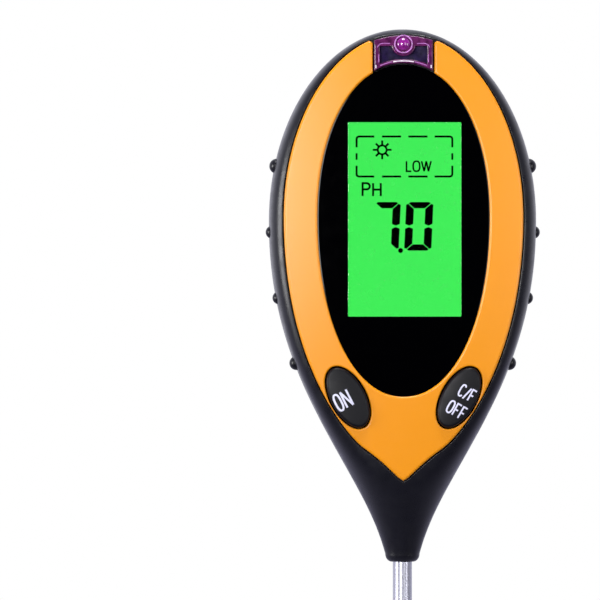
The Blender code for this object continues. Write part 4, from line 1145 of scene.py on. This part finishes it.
def key_legend(name, side, lines, body, lean, width):
    """Printed letters on a key cap, leaning by `lean` from upright."""
    long_axis, short_axis = key_axes(side)
    up = Vector((side * math.sin(lean), math.cos(lean)))
    across = Vector((up.y, -up.x))
    strokes = []
    for text, widths, height, space, along, aside in lines:
        centre = Vector((side * KEY_X, KEY_H)) + long_axis * along + short_axis * aside
        for path in word(text, widths, height, space):
            strokes.append([tuple(centre + across * x + up * y) for x, y in path])
    legend = raise_strokes(name, strokes, width, lambda x, h: key_reach(side, x, h), 0.04, 0.05)
    place(legend, LEGEND, "key_rubber", body=body)


def make_keys():
    """Each key is a crowned cap with a stem, and a rubber skirt that folds as it goes down."""
    for name, side in (("on_key", -1), ("off_key", 1)):
        rings = [[at(x, y, h) for x, h in key_outline(side, along, across)] for along, across, y in KEY_BACK]
        for sine, cosine in quarter(6):
            y = -(KEY_TOP - KEY_CROWN - KEY_EDGE * (1.0 - sine))
            rings.append([at(x, y, h) for x, h in key_outline(side, -KEY_EDGE * (1.0 - cosine))])
        for k in range(1, 12):
            part = 1.0 - k / 12.0
            outline = key_outline(side, (KEY_LONG - KEY_EDGE) * part - KEY_LONG,
                                  (KEY_SHORT - KEY_EDGE) * part - KEY_SHORT)
            rings.append([at(x, -(KEY_TOP - KEY_CROWN * part * part), h) for x, h in outline])
        place(loft(name + "_cap", rings), KEY, "key_rubber", name, body=name)
        rings = [[at(x, y, h) for x, h in key_outline(side, grow)] for grow, y in WEB_SECTION]
        web = hoop(name + "_skirt", rings)
        place(web, GREY_RUBBER, "grey_rubber", name + "_web")
        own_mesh(web)
    key_legend("on_legend", -1, ON_LINES, "on_key", math.radians(27.0), 0.46)
    key_legend("off_legend", 1, OFF_LINES, "off_key", math.radians(30.0), 0.38)


# ---- display
def polygon_solid(verts, faces, outline, front, back):
    base = len(verts)
    count = len(outline)
    for y in (front, back):
        verts.extend(at(x, y, h) for x, h in outline)
    faces.append(tuple(base + i for i in range(count)))
    faces.append(tuple(base + count + i for i in reversed(range(count))))
    for i in range(count):
        j = (i + 1) % count
        faces.append((base + i, base + count + i, base + count + j, base + j))


def segments():
    """The segments of a digit, as outlines in a box from (0, 0)."""
    w, t, v, b, g = DIGIT_WIDTH, DIGIT_HEIGHT, DIGIT_STEM, DIGIT_BAR, DIGIT_GAP
    mid = t / 2.0
    chamfer = 0.45
    top = [(chamfer + g, t - 0.3), (chamfer + g + 0.35, t), (w - chamfer - g - 0.35, t),
           (w - chamfer - g, t - 0.3), (w - v - g / 2, t - b), (v + g / 2, t - b)]
    right = [(w, t - chamfer - g), (w, mid + 0.55), (w - v * 0.5, mid + g), (w - v, mid + 0.55),
             (w - v, t - b - g), (w - 0.5, t - 0.25 - g)]
    return {"top": top, "bottom": [(x, t - y) for x, y in reversed(top)], "upper_right": right,
            "upper_left": [(w - x, y) for x, y in reversed(right)],
            "lower_right": [(x, t - y) for x, y in reversed(right)],
            "lower_left": [(w - x, t - y) for x, y in right]}


def make_display():
    glass = extent("lcd_glass")[0].y
    slant = math.tan(DIGIT_SLANT)
    verts = []
    faces = []
    for left, used in DIGITS:
        for name in used:
            outline = [(left + x + slant * y, DIGIT_BASE + y) for x, y in segments()[name]]
            polygon_solid(verts, faces, outline, glass - INK_FRONT, glass - INK_BACK)
    polygon_solid(verts, faces, circle(*POINT_PLACE, POINT_RADIUS, 24), glass - INK_FRONT, glass - INK_BACK)
    place(shape("lcd_digits", verts, faces), INK, "lcd_green")

    left, right, low, high = DASH_BOX
    wide, tall = right - left, high - low
    strokes = []
    for y in (low, high):
        for a, b in DASHES:
            strokes.append([(left + wide * a, y), (left + wide * b, y)])
    for x in (left, right):
        strokes.append([(x, low + tall * share) for share in SIDE_DASH])
    run, rise, bend = wide * CORNER_DASH[0], tall * CORNER_DASH[1], 0.5
    for x, y, sx, sy in ((left, high, 1, -1), (right, high, -1, -1), (left, low, 1, 1), (right, low, -1, 1)):
        strokes.append([(x + sx * run, y), (x + sx * bend, y), (x + sx * bend * 0.3, y + sy * bend * 0.3),
                        (x, y + sy * bend), (x, y + sy * rise)])
    sun_x, sun_h = SUN_PLACE
    strokes.append(arc(sun_x, sun_h, SUN_RADIUS, SUN_RADIUS, 0, 360, 28))
    for k in range(8):
        c, s = math.cos(math.pi / 4.0 * k), math.sin(math.pi / 4.0 * k)
        strokes.append([(sun_x + r * c, sun_h + r * s) for r in (RAY_START, RAY_ENDS[k % 2])])

    printed = [("lcd_frame", strokes, 0.45)]
    printed += [(name, word(*lettering), width) for name, lettering, width in DISPLAY_WORDS]
    for name, paths, width in printed:
        ink = raise_strokes(name, paths, width, level(-glass), INK_FRONT, -INK_BACK)
        place(ink, INK, "lcd_green")


# ---- back, battery and screws
def make_door():
    low, high = extent("battery_door")
    half = high.x - DOOR_PIVOT
    top = high.z - 1.0
    joint = next(j for j in frame["joints"] if j["name"] == "battery_door_swing")
    hinge = (Vector(joint["pos_m"]) - Vector((0.0, 0.0, NECK_Z))) / MM
    face = level(high.y - 0.02)
    outline = rounded_box(-half, half, hinge.z - 0.2, top, 0.7)
    door = panel("battery_cover", outline, [], 1, face, low.y, (0.35,), 4.0)
    join(door, rod_x("barrel", -half, half, hinge.y, hinge.z, high.y - hinge.y - 0.02, 40))
    for side in (-1, 1):
        ends = sorted((side * (half - 0.8), side * high.x))
        join(door, rod_x("stud", *ends, hinge.y, hinge.z, 0.5, 24))
    join(door, box("latch", -LATCH_HALF, LATCH_HALF, hinge.y - 0.6, high.y - 0.5, top - 0.8, high.z))
    for k in range(4):
        h = top - 4.5 - 2.2 * k
        groove = rounded_box(-6.0, 6.0, h - 0.5, h + 0.5, 0.45)
        cut(door, flared("grip", groove, 1, face, 0.2, high.y - 0.5))
    tip = top - 15.5
    arrow = [(-2.6, tip), (0.0, tip - 3.0), (2.6, tip)]
    cut(door, flared("arrow", arrow, 1, face, 0.12, high.y - 0.35))
    place(door, BLACK, "black_shell", "battery_door", body="battery_door")


def make_battery():
    low, high = extent("battery")
    top = high.z - TERMINAL_RISE
    rings = [(low.z + CELL_EDGE * (1.0 - sine), CELL_EDGE * (1.0 - cosine)) for sine, cosine in quarter(5)]
    rings = list(reversed(rings))
    rings += [(top - (h - low.z), inset) for h, inset in reversed(rings)]
    loops = []
    for h, inset in rings:
        section = rounded_box(low.x + inset, high.x - inset, low.y + inset, high.y - inset, 2.2)
        loops.append([at(x, y, h) for x, y in section])
    place(loft("battery_block", loops), CELL, "battery_jacket", "battery")
    for name, x, radius, closed in TERMINALS:
        profile = [(0.0, top - 0.5), (radius, top - 0.5), (radius, top + 0.7), (radius - 0.45, top + 1.1),
                   (radius - 0.1, top + 2.2), (radius - 0.5, top + TERMINAL_RISE)]
        if closed:
            profile.append((0.0, top + TERMINAL_RISE))
        else:
            profile += [(radius - 1.1, top + 2.3), (radius - 1.1, top + 0.4), (0.0, top + 0.4)]
        terminal = turned(name, profile, 48, x, (low.y + high.y) / 2.0)
        place(terminal, TERMINAL, "battery_jacket")


def make_case_screws():
    for name in ("upper_left", "upper_right", "lower_left", "lower_right"):
        low, high = extent("case_screw_" + name)
        x, h = (low.x + high.x) / 2.0, (low.z + high.z) / 2.0
        radius = (high.x - low.x) / 2.0
        seat = high.y - SCREW_HEAD
        profile = [(0.5, low.y), (SHANK, low.y + 0.8), (SHANK, seat), (radius - 0.1, seat),
                   (radius, seat + 0.12)]
        for sine, cosine in quarter(6):
            profile.append((max(radius * cosine ** 0.55, AXIS), seat + 0.6 + 1.1 * sine))
        screw = turned_y("screw_" + name, profile, x, h, 40)
        arm, slot = radius * 0.62, 0.27
        corner = ((arm, slot), (slot, slot), (slot, arm))
        cross = []
        for c, s in ((1, 0), (0, 1), (-1, 0), (0, -1)):
            cross += [(x + c * a - s * b, h + s * a + c * b) for a, b in corner]
        cut(screw, prism("cross", cross, high.y - 0.95, REACH))
        place(screw, SCREW, "screw_steel", "case_screw_" + name)


# ---- probe
def make_probe():
    low, high = extent("probe_tube")
    radius, edge = high.x, PROBE_EDGE
    tip_low, tip_high = extent("probe_tip")
    bottom, top = tip_low.z, tip_high.z
    blunt = POINT_BLUNT
    point = [(0.0, bottom)]
    for sine, cosine in quarter(6)[1:]:
        point.append((blunt * sine, bottom + blunt * (1.0 - cosine)))
    for k in range(1, 13):
        t = k / 12.0
        swell = 1.5 * t - 0.5 * t ** 3
        point.append((blunt + (radius - blunt) * swell, bottom + blunt + (TAPER - blunt) * t))
    point += [(radius, top - edge), (radius - edge, top), (1.3, top), (1.3, top - 3.4), (0.0, top - 3.4)]
    place(turned("probe_point", point), STEEL, "probe_steel", "probe_tip")

    band_low, band_high = extent("electrode")
    plug = PROBE_BORE - 0.1
    spans = (("lower_spacer", "insulator_lower", top + JOINT, band_low.z - JOINT, 1.2, 0.0),
             ("upper_spacer", "insulator_upper", band_high.z + JOINT, low.z - JOINT, plug, 1.15))
    for name, node, start, end, spigot, hollow in spans:
        part_low, part_high = extent(node)
        profile = [(hollow, part_low.z), (spigot, part_low.z), (spigot, start), (radius - edge, start),
                   (radius, start + edge), (radius, end - edge), (radius - edge, end), (plug, end),
                   (plug, part_high.z), (hollow, part_high.z)]
        place(turned(name, profile), INSULATOR, "insulator", node)
    for name, node, mat, slot in (("copper_band", "electrode", COPPER, "copper"),
                                  ("probe_shaft", "probe_tube", STEEL, "probe_steel")):
        part_low, part_high = extent(node)
        profile = [(PROBE_BORE, part_low.z), (radius - edge, part_low.z), (radius, part_low.z + edge),
                   (radius, part_high.z - edge), (radius - edge, part_high.z), (PROBE_BORE, part_high.z)]
        place(turned(name, profile), mat, slot, node)


# ---- CAD nodes that stay
CAD_FINISHES = {
    "window_tape": FOAM, "photodiode": EPOXY, "on_pill": CARBON, "off_pill": CARBON,
    "key_mat": GREY_RUBBER,
    "circuit_board": BOARD, "controller_chip": CHIP, "quartz_crystal": SCREW,
    "voltage_regulator": CHIP, "capacitor": SCREW, "lcd_glass": LCD, "backlight": DIFFUSER,
    "zebra_strip_top": GREY_RUBBER, "zebra_strip_bottom": GREY_RUBBER, "lcd_holder": HOLDER,
    "battery_snap": HOLDER, "battery_lead_red": RED_WIRE, "battery_lead_black": BLACK_WIRE,
    "battery_foam": FOAM, "board_screw_upper_left": SCREW, "board_screw_upper_right": SCREW,
    "board_screw_lower": SCREW, "probe_collar": BRASS, "neck_seal": NECK_RUBBER,
    "probe_lead_left": BLACK_WIRE, "probe_lead_right": RED_WIRE, "thermistor": EPOXY,
}


def finish_cad_nodes():
    for name, mat in CAD_FINISHES.items():
        node = frame["nodes"][name]
        for slot in node.material_slots:
            slot.material = mat


# ---- studio
def aim(obj, target):
    """Point a camera or a light at a place."""
    obj.rotation_mode = "QUATERNION"
    obj.rotation_quaternion = (target - obj.location).to_track_quat("-Z", "Y")


def make_camera():
    data = bpy.data.cameras.new("camera")
    camera = link(bpy.data.objects.new("camera", data))
    camera.location = at(-VIEW_DISTANCE * math.tan(VIEW_LEAN), -VIEW_DISTANCE, VIEW_H)
    aim(camera, at(VIEW_X, 0.0, VIEW_H))
    data.sensor_width = SENSOR
    data.lens = SENSOR * (VIEW_DISTANCE - VIEW_PLANE) / VIEW_WIDTH
    data.clip_end = 20.0
    bpy.context.scene.camera = camera


def make_lights():
    for name, place_mm, aim_h, size_mm, power in LIGHTS:
        data = bpy.data.lights.new(name, "AREA")
        data.shape = "RECTANGLE"
        data.size, data.size_y = size_mm[0] * MM, size_mm[1] * MM
        data.energy = power
        light = link(bpy.data.objects.new(name, data))
        light.location = at(*place_mm)
        aim(light, at(0.0, 0.0, aim_h))


def make_world():
    """White studio that is dim where the camera stands, so that the window stays black."""
    world = bpy.data.worlds.new("studio")
    bpy.context.scene.world = world
    world.use_nodes = True
    tree = world.node_tree
    tree.nodes.clear()
    spot = add(tree, "TexCoord").outputs["Generated"]
    depth = add(tree, "SeparateXYZ", {"Vector": spot}).outputs["Y"]
    ramp = add(tree, "MapRange", {"Value": depth},
               {"From Min": -0.65, "From Max": 0.7, "To Min": 0.0, "To Max": 1.0},
               interpolation_type="SMOOTHSTEP")
    room = add(tree, "Background", {"Strength": ramp.outputs["Result"]}, {"Color": linear(*ROOM_COLOUR)})
    white = add(tree, "Background", (), {"Strength": 1.0, "Color": linear(255, 255, 255)})
    seen = add(tree, "LightPath").outputs["Is Camera Ray"]
    mix = add(tree, "MixShader", {"Fac": seen, 1: room.outputs[0], 2: white.outputs[0]})
    add(tree, "OutputWorld", {"Surface": mix.outputs["Shader"]})


def make_floor():
    """Pale disc under the probe's tip that fades into the white background."""
    bottom = (CAD_BOX[0][2] - NECK_Z) / MM
    count = 96
    verts = [at(0.0, 0.0, bottom)] + [at(x, y, bottom) for x, y in circle(0.0, 0.0, FLOOR_RADIUS, count)]
    faces = [(0, 1 + i, 1 + (i + 1) % count) for i in range(count)]
    mesh = bpy.data.meshes.new("floor")
    mesh.from_pydata([tuple(v) for v in verts], [], faces)
    floor = link(bpy.data.objects.new("floor", mesh))
    mat = bpy.data.materials.new("floor_paper")
    mat.use_nodes = True
    tree = mat.node_tree
    paper = tree.nodes["Principled BSDF"]
    paper.inputs["Base Color"].default_value = (0.86, 0.86, 0.86, 1.0)
    paper.inputs["Roughness"].default_value = 0.8
    spot = add(tree, "TexCoord").outputs["Object"]
    away = add(tree, "VectorMath", {0: spot}, operation="LENGTH").outputs["Value"]
    fade = add(tree, "MapRange", {"Value": away}, {"From Min": 0.15, "From Max": 0.6},
               interpolation_type="SMOOTHSTEP")
    glow = add(tree, "Emission")
    shown = add(tree, "MixShader", {"Fac": fade.outputs["Result"], 1: paper.outputs["BSDF"],
                                    2: glow.outputs["Emission"]})
    depth = add(tree, "SeparateXYZ", {"Vector": spot}).outputs["Y"]
    ramp = add(tree, "MapRange", {"Value": depth},
               {"From Min": -0.25, "From Max": 0.25, "To Min": 0.04, "To Max": 0.6})
    dim = add(tree, "Emission", {"Strength": ramp.outputs["Result"]}, {"Color": linear(*FLOOR_GLOW)})
    seen = add(tree, "LightPath").outputs["Is Camera Ray"]
    mix = add(tree, "MixShader", {"Fac": seen, 1: dim.outputs["Emission"], 2: shown.outputs["Shader"]})
    tree.links.new(mix.outputs["Shader"], tree.nodes["Material Output"].inputs["Surface"])
    mesh.materials.append(mat)


bpy.context.scene.view_settings.view_transform = "Standard"
make_camera()
make_world()
make_floor()
make_lights()

make_front_case()
make_rear_case()
make_face()
make_lens()
make_keys()
make_display()
make_door()
make_battery()
make_case_screws()
make_probe()
finish_cad_nodes()
